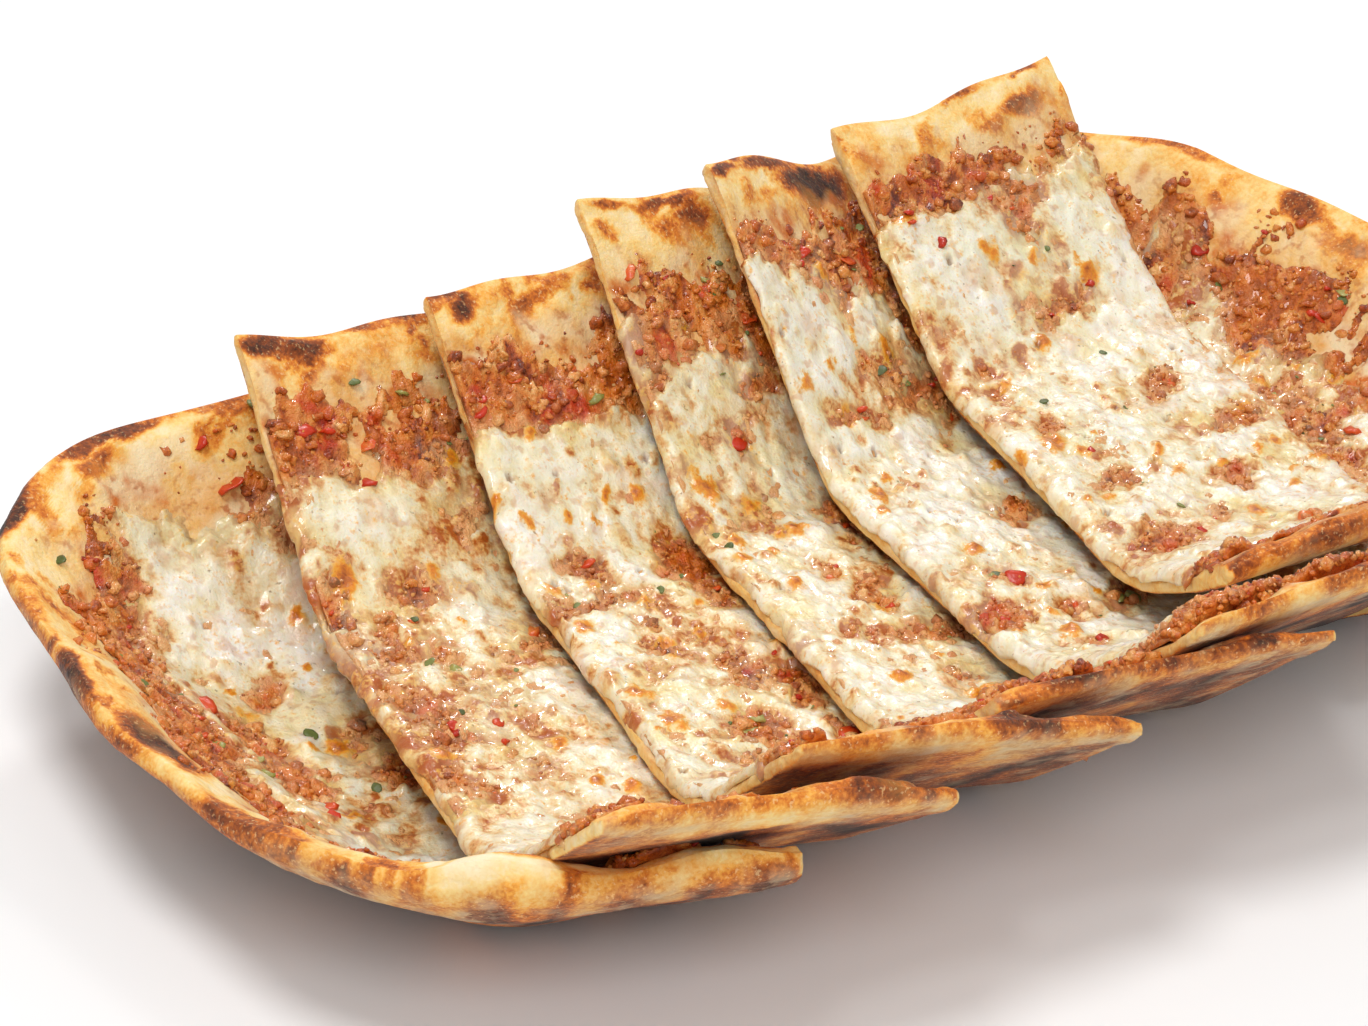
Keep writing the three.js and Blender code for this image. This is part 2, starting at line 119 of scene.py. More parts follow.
# The seven pieces, left to right. Patches are (u, v, half width, half length) on the piece.
slices = [
    dict(
        name="slice_2", nearToast=0.37, cover=-0.2, seed=2, nearLeft=(-88, -107.5),
        nearRight=(-28.5, -104.5), farRight=(-25.5, 72), farLeft=(-82.8, 53), lift=0,
        lean=(0.225, 0.237, 0.208), bow=0, nearBend=(0.845, 60.5, 28), farBend=(0.76, 52, 14),
        nearCrust=6.2, farCrust=4.8, cheeseFromFar=24,
        bare=[(0.2, 0.905, 14, 4), (0.52, 0.91, 13, 5), (0.05, 0.75, 4, 5), (0.3, 0.755, 5, 3),
            (0.17, 0.71, 3, 5), (0.29, 0.645, 4, 4), (0.14, 0.665, 4, 4), (0.63, 0.655, 3, 4),
            (0.03, 0.6, 2.5, 6), (0.28, 0.48, 2, 2), (0.08, 0.43, 2.5, 3)],
        thin=[(0.12, 0.52, 7, 14), (0.52, 0.62, 6, 6), (0.1, 0.38, 6, 10), (0.3, 0.86, 8, 4)],
        blisters=[(0.1, 0.77, 3.2), (0.47, 0.39, 2.2), (0.56, 0.375, 1.8), (0.08, 0.47, 2.4)],
        piles=[(0.03, 0.09, 7, 2.5), (0.14, 0.08, 5, 2)],
        humps=[(0.3, 0.1, -1.4), (0.5, 0.07, -0.8), (0.76, 0.13, 1.5)],
        burns=[(0.31, 0.008, 7, 3.2, 0.64), (0.76, 0.008, 6, 3.4, 0.82), (0.96, 0.008, 3, 3.0, 0.64),
            (0.07, 0.984, 6, 2.2, 0.86), (0.2, 0.978, 7, 2.2, 0.84), (0.46, 0.99, 8, 1.1, 0.62),
            (0.84, 0.972, 7, 2.6, 0.72), (0.38, 0.95, 2.5, 1.0, 0.55)]),
    dict(
        name="slice_3", nearToast=0.39, cover=0.12, seed=3, nearLeft=(-52.5, -100), nearRight=(5.5, -100.5),
        farRight=(6.4, 73), farLeft=(-47, 58.5), lift=0, lean=(0.2, 0.205, 0.2), bow=2,
        nearBend=(0.9, 58.5, 28), farBend=(0.78, 52, 14), nearCrust=5.6, farCrust=4.5, cheeseFromFar=23,
        bare=[(0.12, 0.905, 8, 4), (0.4, 0.9, 11, 5), (0.63, 0.895, 7, 6), (0.33, 0.865, 5, 3),
            (0.6, 0.7, 6, 7), (0.24, 0.715, 3, 3), (0.1, 0.65, 7, 3), (0.3, 0.655, 6, 3),
            (0.62, 0.645, 6, 4), (0.25, 0.555, 3, 2), (0.52, 0.5, 3, 4), (0.64, 0.46, 2.5, 7),
            (0.36, 0.385, 7, 5), (0.44, 0.345, 5, 4), (0.28, 0.33, 4, 3), (0.66, 0.36, 3, 4)],
        thin=[(0.4, 0.57, 13, 12), (0.55, 0.46, 9, 10), (0.2, 0.7, 9, 5), (0.15, 0.5, 6, 8)],
        blisters=[(0.36, 0.635, 3.0), (0.3, 0.56, 2.6), (0.44, 0.57, 2.2), (0.06, 0.6, 2.8),
            (0.06, 0.47, 3.2), (0.1, 0.41, 3.6), (0.24, 0.77, 1.8), (0.52, 0.78, 1.8)],
        piles=[(0.06, 0.085, 7, 3.0), (0.42, 0.1, 8, 3.5), (0.55, 0.09, 7, 3)],
        humps=[(0.2, 0.12, -1.2), (0.4, 0.08, -0.8), (0.66, 0.14, 0.5)],
        burns=[(0.18, 0.008, 5, 2.6, 0.52), (0.34, 0.01, 3, 2.2, 0.7), (0.66, 0.008, 8, 3.6, 0.88),
            (0.9, 0.008, 5, 3.0, 0.68), (0.13, 0.974, 4.5, 2.4, 0.88), (0.36, 0.968, 4.5, 1.7, 0.7),
            (0.5, 0.987, 6, 1.2, 0.6), (0.36, 0.955, 2.5, 1.2, 0.5), (0.64, 0.968, 3, 1.5, 0.68)]),
    dict(
        name="slice_4", nearToast=0.54, cover=0.04, seed=4, nearLeft=(-15, -92), nearRight=(43.5, -95),
        farRight=(37.6, 81.5), farLeft=(-15.2, 64.8), lift=0, lean=(0, 0.185, 0.31), bow=3,
        nearBend=(0.98, 59.5, 28), farBend=(0.81, 52, 14), nearCrust=4.8, farCrust=4.2, cheeseFromFar=18,
        bare=[(0.08, 0.93, 5, 3), (0.3, 0.925, 9, 4), (0.53, 0.92, 7, 5), (0.1, 0.865, 7, 3.5),
            (0.36, 0.875, 5, 3), (0.56, 0.87, 4, 6), (0.08, 0.835, 4, 2), (0.48, 0.825, 6, 3),
            (0.33, 0.782, 7, 1.8), (0.56, 0.685, 5, 5), (0.33, 0.585, 2.5, 4), (0.4, 0.53, 3.5, 6),
            (0.58, 0.62, 2.5, 5), (0.52, 0.44, 8, 4), (0.42, 0.35, 3, 3), (0.45, 0.3, 5, 3)],
        thin=[(0.3, 0.89, 16, 8), (0.5, 0.6, 6, 12), (0.12, 0.44, 7, 6), (0.3, 0.45, 8, 6)],
        blisters=[(0.1, 0.74, 3.4), (0.24, 0.715, 2.2), (0.33, 0.665, 3.0), (0.18, 0.63, 2.0),
            (0.22, 0.36, 3.0), (0.43, 0.305, 3.4), (0.15, 0.56, 2.0), (0.08, 0.66, 2.4)],
        piles=[(0.1, 0.08, 7, 3.0), (0.28, 0.07, 6, 2.5), (0.5, 0.085, 7, 2.5)],
        humps=[(0.48, 0.14, -1.8), (0.8, 0.1, 0.8)],
        burns=[(0.22, 0.008, 7, 3.6, 0.86), (0.45, 0.008, 6, 3.0, 0.66), (0.68, 0.008, 5, 3.0, 0.76),
            (0.92, 0.008, 4, 3.0, 0.52), (0.36, 0.984, 10, 1.5, 0.78), (0.46, 0.966, 6, 2.6, 0.8),
            (0.12, 0.99, 5, 0.9, 0.7), (0.66, 0.972, 4, 2.0, 0.66)]),
    dict(
        name="slice_5", nearToast=0.3, cover=0.3, seed=5, nearLeft=(18.5, -93.5), nearRight=(78.5, -89),
        farRight=(60, 100), farLeft=(10.6, 66.5), lift=0, lean=(0, 0.21, 0.38), bow=1.5,
        nearBend=(0.99, 64.5, 28), farBend=(0.65, 56, 14), nearCrust=5.6, farCrust=4.5, cheeseFromFar=16,
        bare=[(0.3, 0.905, 8, 3.5), (0.5, 0.9, 8, 5), (0.69, 0.88, 6, 9), (0.48, 0.865, 6, 3),
            (0.71, 0.82, 4, 6), (0.45, 0.787, 8, 3), (0.61, 0.765, 6, 3), (0.25, 0.76, 6, 2),
            (0.71, 0.737, 4, 2.5), (0.57, 0.565, 4, 3.5), (0.25, 0.46, 3, 3), (0.08, 0.4, 7, 5),
            (0.35, 0.385, 4, 2), (0.62, 0.38, 6, 3), (0.25, 0.3, 3, 3)],
        thin=[(0.12, 0.47, 7, 7), (0.5, 0.57, 6, 5), (0.12, 0.3, 7, 7), (0.55, 0.7, 7, 4)],
        blisters=[(0.12, 0.655, 3.6), (0.24, 0.52, 3.2), (0.05, 0.63, 2.4), (0.07, 0.36, 2.4),
            (0.32, 0.425, 2.4), (0.22, 0.335, 2.6)],
        piles=[(0.05, 0.085, 8, 4.5), (0.16, 0.075, 8, 5), (0.3, 0.07, 7, 3.5), (0.52, 0.07, 9, 3),
            (0.75, 0.07, 9, 3)],
        humps=[(0.25, 0.1, -0.8)],
        burns=[(0.22, 0.008, 6, 3.0, 0.62), (0.5, 0.008, 7, 3.0, 0.68), (0.8, 0.008, 7, 3.0, 0.7),
            (0.56, 0.966, 12, 4.0, 1.0), (0.34, 0.986, 10, 1.6, 0.82), (0.08, 0.985, 5, 1.6, 0.85),
            (0.1, 0.985, 4, 1.3, 0.6)]),
    dict(
        name="slice_6", nearToast=0.5, cover=0.1, seed=6, nearLeft=(42, -66.5), nearRight=(102, -58.5),
        farRight=(105.9, 112.5), farLeft=(45.2, 84.5), lift=6.3, lean=(0.03, 0.14, 0.16), bow=3.5,
        nearBend=(0.73, 56, 28), farBend=(0.61, 56, 14), nearCrust=6.6, farCrust=4.5, cheeseFromFar=19,
        humps=[],
        bare=[(0.25, 0.915, 9, 3.5), (0.46, 0.9, 9, 3.5), (0.62, 0.873, 7, 2.8), (0.58, 0.845, 4, 3),
            (0.55, 0.74, 6, 3), (0.68, 0.75, 4, 2), (0.72, 0.58, 4, 4), (0.64, 0.555, 3, 3),
            (0.2, 0.55, 4, 3), (0.88, 0.47, 6, 4), (0.25, 0.42, 4, 3), (0.62, 0.36, 6, 3),
            (0.18, 0.28, 7, 5), (0.65, 0.22, 3, 3)],
        thin=[(0.2, 0.66, 8, 12), (0.72, 0.48, 10, 8), (0.3, 0.3, 10, 8), (0.3, 0.86, 9, 6),
            (0.6, 0.8, 8, 5)],
        blisters=[(0.74, 0.76, 3.0), (0.13, 0.52, 3.4), (0.2, 0.49, 2.6), (0.12, 0.885, 3.4),
            (0.56, 0.28, 2.4), (0.42, 0.7, 1.8)],
        piles=[(0.05, 0.075, 6, 2.5)],
        burns=[(0.2, 0.008, 7, 3.0, 0.62), (0.45, 0.008, 8, 3.0, 0.68), (0.78, 0.008, 8, 3.0, 0.7),
            (0.8, 0.955, 7, 2.6, 0.82), (0.62, 0.948, 4, 1.6, 0.66), (0.56, 0.992, 7, 0.9, 0.66),
            (0.86, 0.99, 5, 1.0, 0.7)]),
]

ends = [
    dict(
        name="left_end", seed=1, cover=0.14, cut=(-56, -17), slant=-5.6, reach=-78, farReach=78,
        nearReach=80.5, farSquare=2.8, nearSquare=2.5, bend=(48, 20), tipRise=29, farRise=31, nearRise=28,
        rimCrust=6.5, nose=(0.62, 0.17, 0.05), cheeseTo=(0.66, 0.74, 0.62),
        puffs=[(-0.99, 0.15, 7), (-1.43, 0.12, 2.5), (1.02, 0.16, 3)],
        bare=[(0.56, 0.2, 6, 9), (0.54, 0.02, 6, 8), (0.3, 0.02, 5, 5), (0.42, 0.36, 3, 4),
            (0.1, -0.45, 6, 5)],
        thin=[(0.33, 0.1, 9, 14), (0.4, 0.62, 9, 6), (0.45, -0.2, 9, 9)],
        bread=[(0.62, 0.8, 20, 9), (0.86, 0.4, 5, 8), (0.82, 0.66, 5, 7)],
        blisters=[(0.38, 0.16, 3.0), (0.5, 0.3, 2.0), (0.31, 0.55, 2.0)],
        piles=[(0.3, -0.85, 9, 1.5), (0.08, -0.85, 8, 1.0), (0.62, -0.7, 7, 2)],
        burns=[(40, 0.5, 7, 2.2, 0.92), (57, 1.5, 14, 2.0, 0.84), (53, 5, 5, 2, 0.7), (72, 1, 7, 1.5, 0.6),
            (6, 1, 9, 2.2, 0.9), (-9, 5.5, 11, 4.6, 0.95), (-29, 2, 12, 3.5, 0.72), (-40, 8, 6, 2.4, 0.7),
            (-57, 5.5, 8, 1.6, 0.62), (-82, 5, 9, 1.8, 0.72), (22, 1, 6, 1.2, 0.55)]),
    dict(
        name="right_end", seed=7, cover=0, cut=(80, 18), slant=0, reach=69, farReach=104, nearReach=78,
        farSquare=1.7, nearSquare=2.0, bend=(40, 20), tipRise=22, farRise=22, nearRise=21, rimCrust=6.0,
        nose=(0, 1, 0), puffs=[], cheeseTo=(0.6, 0.7, 0.7), piles=[],
        bare=[(0.5, 0.62, 7, 9), (0.52, 0.05, 5, 6), (0.47, -0.12, 5, 6), (0.4, -0.45, 7, 6)],
        thin=[(0.5, 0.4, 9, 10), (0.45, 0.1, 8, 14), (0.42, -0.3, 9, 12)],
        bread=[(0.84, 0.52, 6, 7), (0.86, -0.35, 6, 8)],
        blisters=[(0.52, 0.3, 2.4), (0.5, 0.22, 2.0)],
        burns=[(29, 3, 5, 3, 0.8), (20, 6, 6, 2.5, 0.7), (48, 1, 12, 1.8, 0.6), (70, 1.5, 10, 2, 0.5),
            (-5, 2, 7, 4, 0.8), (-40, 3, 7, 4, 0.8), (-65, 2, 8, 3, 0.7)]),
]

layers = dict(doughMiddle=2.6, gap=0.3, nearCrustWidth=19, nearCrustBlend=12, farCrustWidth=16,
              farCrustBlend=9, rimCrustWidth=20, rimCrustBlend=12,
              pinched=0.58, edgeWobble=1.0, wobbleReach=25, tiltBlend=60,
              meatFromNear=9, meatFromFar=12.5, cheeseFromNear=16.5, meatFromRim=12)


def wobble(t, seed):
    return layers["edgeWobble"] * (np.sin(5.1 * t + 1.7 * seed) + 0.6 * np.sin(11.3 * t + 2.9 * seed))


def placeOnSlice(p, u, q):   # u across the cut from 0 to 1, q millimetres from the near edge
    length = p["length"]
    reach = layers["wobbleReach"]
    far = length - q
    s = q + wobble(u, p["seed"] + 3) * ease((reach - far) / reach)
    s = s - wobble(u, p["seed"]) * ease((reach - q) / reach)
    v = s / length
    nearLeft, nearRight, farLeft, farRight = [p[c] for c in ("nearLeft", "nearRight", "farLeft", "farRight")]
    x, y = [mix(mix(nearLeft[k], nearRight[k], u), mix(farLeft[k], farRight[k], u), v) for k in (0, 1)]
    x = x + p["bow"] * (1 - u) * np.sin(math.pi * np.clip(v, 0, 1))
    nearSlope, nearLength, nearRadius = p["nearBend"]
    farSlope, farLength, farRadius = p["farBend"]
    nearLean, midLean, farLean = p["lean"]
    blend = layers["tiltBlend"]
    lean = midLean + (nearLean - midLean) * ease((blend - s) / blend)
    lean = lean + (farLean - midLean) * ease((s - length + blend) / blend)
    rise = nearSlope * bendUp(nearLength - s, nearRadius) + farSlope * bendUp(s - length + farLength, farRadius)
    under = rise + p["lift"] + lean * (1 - u) * p["width"]
    puff = layers["pinched"] + (1 - layers["pinched"]) * np.sin(math.pi * np.clip(u, 0, 1)) ** 0.8
    middle = layers["doughMiddle"]
    nearSide = ease((layers["nearCrustWidth"] - q) / layers["nearCrustBlend"])
    farSide = ease((layers["farCrustWidth"] - far) / layers["farCrustBlend"])
    depth = middle + (p["nearCrust"] * puff - middle) * nearSide + (p["farCrust"] - middle) * farSide
    crust = np.maximum(ease((17 - q) / 9), ease((14 - far) / 7))
    return SimpleNamespace(
        x=x, y=y, under=under, depth=depth, edge=np.minimum(q, far), crust=crust,
        flatX=u * sliceWidth, flatY=q + 0 * u, near=q + 0 * u, far=far + 0 * u,
        meatRoom=np.minimum(q - layers["meatFromNear"], far - layers["meatFromFar"]),
        cheeseRoom=np.minimum(q - layers["cheeseFromNear"], far - p["cheeseFromFar"]),
        cutRoom=np.minimum(u, 1 - u) * sliceWidth)


def placeOnEnd(p, u, v):   # u from the cut to the tip, v from near (-1) to far (1)
    x = u * np.sqrt(1 - v * v / 2)
    y = v * np.sqrt(1 - u * u / 2)
    turn = np.arctan2(np.abs(y), x)
    power = np.where(y > 0, p["farSquare"], p["nearSquare"])
    corner = (np.cos(turn) ** power + np.sin(turn) ** power + 1e-12) ** (-1 / power)
    side = np.where(y > 0, p["farReach"], p["nearReach"])
    phase = np.sign(y) * turn
    ragged = 0.01 * np.sin(7 * phase + p["seed"]) + 0.007 * np.sin(13 * phase + 2 * p["seed"])
    corner = corner * (1 + ragged + swelling(phase, p["nose"]))
    ring = np.hypot(x, y)
    planX = p["cut"][0] + (p["slant"] * y + p["reach"] * x) * corner
    planY = p["cut"][1] + side * y * corner
    fromRim = (1 - ring) * np.hypot(abs(p["reach"]) * np.cos(turn), side * np.sin(turn)) * corner
    length, radius = p["bend"]
    rise = mix(p["tipRise"], np.where(y > 0, p["farRise"], p["nearRise"]), ease(turn / (math.pi / 2)))
    under = rise * bendUp(length - fromRim, radius) / (length - radius / 2)
    puff = 1 + 0.16 * np.sin(9 * phase + p["seed"]) + 0.08 * np.sin(17 * phase)
    depth = layers["doughMiddle"] + (p["rimCrust"] * puff - layers["doughMiddle"]) * ease(
        (layers["rimCrustWidth"] - fromRim) / layers["rimCrustBlend"])
    depth = depth + sum(swelling(phase, one) for one in p["puffs"]) * ease((12 - fromRim) / 8)
    tall = 0.5 * (p["farReach"] + p["nearReach"])
    tipMost, farMost, nearMost = p["cheeseTo"]
    cheeseRoom = np.minimum((tipMost - u) * abs(p["reach"]), np.minimum(farMost - v, nearMost + v) * tall)
    return SimpleNamespace(
        x=planX, y=planY, under=under, depth=depth, edge=fromRim, crust=ease((15 - fromRim) / 8),
        flatX=(planX - p["cut"][0]) * np.sign(p["reach"]), flatY=planY - p["cut"][1], turn=np.degrees(phase),
        meatRoom=fromRim - layers["meatFromRim"], cheeseRoom=cheeseRoom, cutRoom=u * abs(p["reach"]))


for p in slices:
    sums = [p["farLeft"][k] + p["farRight"][k] - p["nearLeft"][k] - p["nearRight"][k] for k in (0, 1)]
    p["length"] = math.hypot(*sums) / 2
    p["width"] = p["nearRight"][0] - p["nearLeft"][0]
    p["place"] = placeOnSlice
    p["bread"], p["puffs"] = [], []
    p["row"] = lambda v, p=p: v * p["length"]
    p["mirrored"] = False
for p in ends:
    p["place"] = placeOnEnd
    p["row"] = lambda v: v
    p["mirrored"] = p["reach"] < 0
pieces = [ends[0]] + slices + [ends[1]]


def pointOn(p, u, v):
    return p["place"](p, np.array(float(u)), np.array(float(p["row"](v))))


def patchField(p, s, patches, ragged=1.6):   # millimetres inside the nearest patch, negative outside
    noise = noiseOn(p, s)
    x, y = s.flatX + ragged * noise(6, 61), s.flatY + ragged * noise(6, 83)
    inside = np.full(x.shape, -99.0)
    for u, v, halfWide, halfLong in patches:
        at = pointOn(p, u, v)
        away = np.hypot((x - at.flatX) / halfWide, (y - at.flatY) / halfLong)
        inside = np.maximum(inside, (1 - away) * min(halfWide, halfLong))
    return inside


def burnField(p, s, first, second, halfWide, halfLong, strength):
    # on slices u and v, on ends degrees round the rim and millimetres in from it
    fx, fy = s.flatX, s.flatY
    noise = noiseOn(p, s)
    if p in slices:
        x, y = fx - first * sliceWidth, fy - second * p["length"]
    else:
        x, y = 1.4 * (s.turn - first), s.edge - second
    x = x + 1.4 * noise(5, 61)
    y = y + noise(4, 83) + 0.4 * noise(1.8, 12)
    return 0.95 * strength * ease(0.5 + 0.9 * (1 - np.hypot(x / halfWide, y / halfLong)))


def noiseOn(p, s):   # noise on a piece: its size, then a number that picks one of many
    def noise(size, number, steps=3):
        return rough(s.flatX, s.flatY, size, p["seed"] + number, steps)
    return noise


def pileHeight(p, s):   # filling heaped up beside the crust
    fx, fy = s.flatX, s.flatY
    height = np.zeros(fx.shape)
    for u, v, size, tall in p["piles"]:
        at = pointOn(p, u, v)
        away = np.hypot(fx - at.flatX, fy - at.flatY) + 1.5 * noiseOn(p, s)(5, 245)
        height = np.maximum(height, tall * np.clip(1 - (away / size) ** 2, 0, 1))
    return height * (0.15 + 0.85 * ease(s.cutRoom / 7))


meatLook = dict(grain=2.8, fineGrain=1.4, least=0.25, most=1.6)
cheeseLook = dict(thick=0.7, broad=0.36, clots=0.27, threads=0.15, lumps=0.32, strand=0.22, droop=1.6)


def meatRelief(p, s):
    fx, fy, seed = s.flatX, s.flatY, p["seed"]
    noise = noiseOn(p, s)
    away, tone = grains(fx + 0.8 * lumpy(fx, fy, 4, seed), fy, meatLook["grain"], seed + 200)
    fineAway, fineTone = grains(fx, fy, meatLook["fineGrain"], seed + 240)
    pile = pileHeight(p, s)
    height = meatLook["least"] + meatLook["most"] * dome(away, 1.9) * (0.35 + 0.65 * tone)
    height = height + 0.55 * dome(fineAway, 0.9) * (0.3 + 0.7 * fineTone)
    height = height + 0.3 * noise(9, 250) + 0.26 * noise(2.2, 255, 2) + pile
    if p in slices:   # calmer where the crust turns up
        inside = ease((s.near - 13) / 8)
        height = mix(1.2, height, 0.4 + 0.6 * inside) + pile * (1 - inside) * 0.6
    room = s.meatRoom + 3.5 * noise(9, 260) + 1.6 * noise(2.6, 270)
    gaps = 2.2 - 7.0 * np.clip(noise(7.5, 275) - 0.12, 0, 1)   # bread shows between clumps
    room = np.minimum(room, gaps + 6.0 * ease((s.meatRoom - 16) / 8))
    if p["bread"]:
        room = np.minimum(room, -patchField(p, s, p["bread"], 3.0) + 1.5 * noise(3.0, 280))
    room = np.maximum(room, 3 * pile - 1.5)
    share = ease((room + 1.2) / 2.6)
    shade = 0.48 + 0.75 * (tone - 0.5) + 0.35 * (fineTone - 0.5) + 0.32 * noise(4.5, 285)
    return height * share - 0.6 * (1 - share), room, np.clip(shade, 0, 1)


def cheeseRelief(p, s, meat):
    fx, fy, seed = s.flatX, s.flatY, p["seed"]
    noise = noiseOn(p, s)
    wet = cheeseLook
    meaty = ease(0.5 + 1.1 * noise(16, 305))   # where more of the mince nearly shows
    melt = wet["thick"] + p["cover"] + wet["broad"] * noise(11, 300) - 0.2 * (meaty - 0.5)
    melt = melt + wet["clots"] * rough(fx + 0.4 * fy, fy, 4.4, seed + 310, 2)
    melt = melt + wet["threads"] * rough(fx + fy, fy - fx, 3.0, seed + 311, 2)
    lumpAway, lumpTone = grains(
        fx + lumpy(fx, fy, 5, seed + 312), fy + lumpy(fx, fy, 5, seed + 313), 5.0, seed + 315)
    least = 0.86 - 0.36 * meaty
    pokeAway = lumpAway + 0.5 * noise(1.6, 317, 1)
    poke = np.where(lumpTone > least, np.clip(1 - pokeAway / (1.0 + 4.2 * (lumpTone - least)), 0, 1), 0)
    melt = melt - 0.5 * ease(1.5 * poke)   # crumbs nearly poke through
    melt = np.maximum(melt, 0.08 + 0.14 * melt)
    ragged = 1.0 if p in slices else 1.8
    shift = 2.6 * noise(8, 320) + 1.2 * noise(2.6, 330)
    room = s.cheeseRoom + ragged * shift
    melt = np.minimum(melt, 0.3 * room / ragged)
    bare = patchField(p, s, p["bare"], 2.6) + 1.3 * noise(3.2, 340)
    melt = np.minimum(melt, 0.16 - 0.26 * bare)
    melt = melt - 0.42 * ease(patchField(p, s, p["thin"]) / 5 + 0.3)
    level = 1.15 + 0.3 * noise(7, 350) + pileHeight(p, s)   # evens out the crumbs
    base = mix(level, meat, np.clip(0.25 + 0.5 * (0.5 - melt), 0.12, 0.8))
    strandField = rough(fx + 0.5 * fy, 0.45 * fy - 0.3 * fx, 3.6, seed + 360, 2)
    strands = np.clip(1 - (2.6 * strandField) ** 2, 0, 1)
    lumps = wet["lumps"] * dome(lumpAway, 2.6) * (0.3 + 0.9 * lumpTone) + wet["strand"] * strands
    lumps = lumps + 0.18 * noise(2.4, 370, 2) + 0.08 * lumpy(fx, fy, 1.3, seed + 375)
    lumps = lumps + ease(1.5 * poke)
    # Small dents in the cheese; the finish paints them dark brown as painted shade.
    away, tone = grains(fx, fy, 9.5, seed + 380)
    shadedPit = np.where(tone > 0.62, dome(away, 0.55 + 0.9 * (tone - 0.62)), 0)
    blister = np.zeros(fx.shape)
    uneven = 1 + 0.55 * noise(2.6, 390)
    for u, v, size in p["blisters"]:
        at = pointOn(p, u, v)
        wide = size * uneven
        blister = np.maximum(blister, np.clip(1 - np.hypot(fx - at.flatX, fy - at.flatY) / wide, 0, 1))
    bubbleAway, bubbleTone = grains(
        fx + 1.2 * lumpy(fx, fy, 2.5, seed), fy + 1.2 * lumpy(fx, fy, 2.5, seed + 1), 6.8, seed + 395)
    small = np.where(bubbleTone > 0.88, np.clip(1 - bubbleAway / (1.2 + 12.0 * (bubbleTone - 0.88)), 0, 1), 0)
    blister = np.maximum(blister, 0.85 * small)
    height = base + melt * np.where(melt > 0, 1.0, 1.8) + lumps * np.clip(0.6 + melt, 0, 1)
    height = height - 1.1 * shadedPit * (melt > 0.1) + 0.35 * ease(1.6 * blister) * (melt > 0)
    return height, melt, blister, shadedPit


def addObject(name, data):
    thing = bpy.data.objects.new(name, data)
    bpy.context.scene.collection.objects.link(thing)
    return thing


def newMesh(name, points):
    mesh = bpy.data.meshes.new(name)
    mesh.vertices.add(len(points))
    mesh.vertices.foreach_set("co", (points * mm).astype(np.float32).ravel())
    return mesh


def addValues(mesh, values, kind="FLOAT", field="value"):   # one number or vector for each point
    for key, numbers in values.items():
        layer = mesh.attributes.new(key, kind, "POINT")
        layer.data.foreach_set(field, np.asarray(numbers).astype(np.float32).ravel())


def newPiece(name, points, quads, values, sharpAngle=None):
    mesh = newMesh(name, points)
    mesh.loops.add(len(quads) * 4)
    mesh.loops.foreach_set("vertex_index", quads.astype(np.int32).ravel())
    mesh.polygons.add(len(quads))
    mesh.polygons.foreach_set("loop_start", np.arange(0, len(quads) * 4, 4, dtype=np.int32))
    mesh.polygons.foreach_set("use_smooth", np.ones(len(quads), bool))
    mesh.update(calc_edges=True)
    mesh.validate()
    addValues(mesh, values)
    if sharpAngle:
        mesh.set_sharp_from_angle(angle=math.radians(sharpAngle))
    return addObject(name, mesh)


def cornersOf(grid):   # the four corners of every square of a grid
    return grid[:-1, :-1], grid[:-1, 1:], grid[1:, 1:], grid[1:, :-1]


def closedSheet(name, top, under, keep, values, mirrored, wallRows=0, swell=None, wallValues=None,
                sharpAngle=None, reach=None):
    # top and under are grids of points; the rim between them is closed with wallRows extra rows
    rows, columns = top.shape[:2]
    count = rows * columns
    a, b, c, d = cornersOf(np.arange(count).reshape(rows, columns))
    upper = np.stack([a, b, c, d], -1)[keep]
    lower = np.stack([d, c, b, a], -1)[keep] + count
    padded = np.pad(keep, 1)
    inner = padded[1:-1, 1:-1]
    openSides = [(padded[:-2, 1:-1], a, b), (padded[1:-1, 2:], b, c),
                 (padded[2:, 1:-1], c, d), (padded[1:-1, :-2], d, a)]
    walls = np.concatenate([
        np.stack([first[inner & ~beside], last[inner & ~beside]], -1) for beside, first, last in openSides])
    flatTop, flatUnder = top.reshape(-1, 3), under.reshape(-1, 3)
    steps = flatTop[walls[:, 1]] - flatTop[walls[:, 0]]
    outward = np.zeros((count, 2))
    side = np.stack([steps[:, 1], -steps[:, 0]], -1) * (-1 if mirrored else 1)
    for k in (0, 1):
        np.add.at(outward, walls[:, k], side)
    outward /= np.maximum(np.linalg.norm(outward, axis=1, keepdims=True), 1e-9)
    rimPoints = np.unique(walls)
    place = np.zeros(count, np.int64)
    place[rimPoints] = np.arange(len(rimPoints))
    reach = np.zeros(len(rimPoints)) if reach is None else reach.ravel()[rimPoints]
    points = [flatTop, flatUnder]
    made = {key: [t.ravel(), n.ravel()] for key, (t, n) in values.items()}
    levels = [walls + count]
    for k in range(wallRows):
        t = (k + 1) / (wallRows + 1)
        row = mix(flatUnder[rimPoints], flatTop[rimPoints], t)
        if swell is not None:
            row[:, :2] += outward[rimPoints] * swell(row, t, reach)[:, None]
        levels.append(2 * count + k * len(rimPoints) + place[walls])
        points.append(row)
        for key, (t0, n0) in values.items():
            level = mix(n0.ravel()[rimPoints], t0.ravel()[rimPoints], t)
            if wallValues and key in wallValues:
                level = wallValues[key](level, row, t, reach)
            made[key].append(level)
    levels.append(walls)
    quads = [upper, lower]
    for low, high in zip(levels, levels[1:]):
        quads.append(np.stack([low[:, 0], low[:, 1], high[:, 1], high[:, 0]], -1))
    quads = np.concatenate(quads)
    if mirrored:
        quads = quads[:, ::-1]
    points = np.concatenate(points)
    made = {key: np.concatenate(parts) for key, parts in made.items()}
    used = np.zeros(len(points), bool)
    used[quads] = True
    renumber = np.cumsum(used) - 1
    points = points[used]
    made = {key: numbers[used] for key, numbers in made.items()}
    points[:, :2] -= centre
    return newPiece(name, points, renumber[quads], made, sharpAngle)


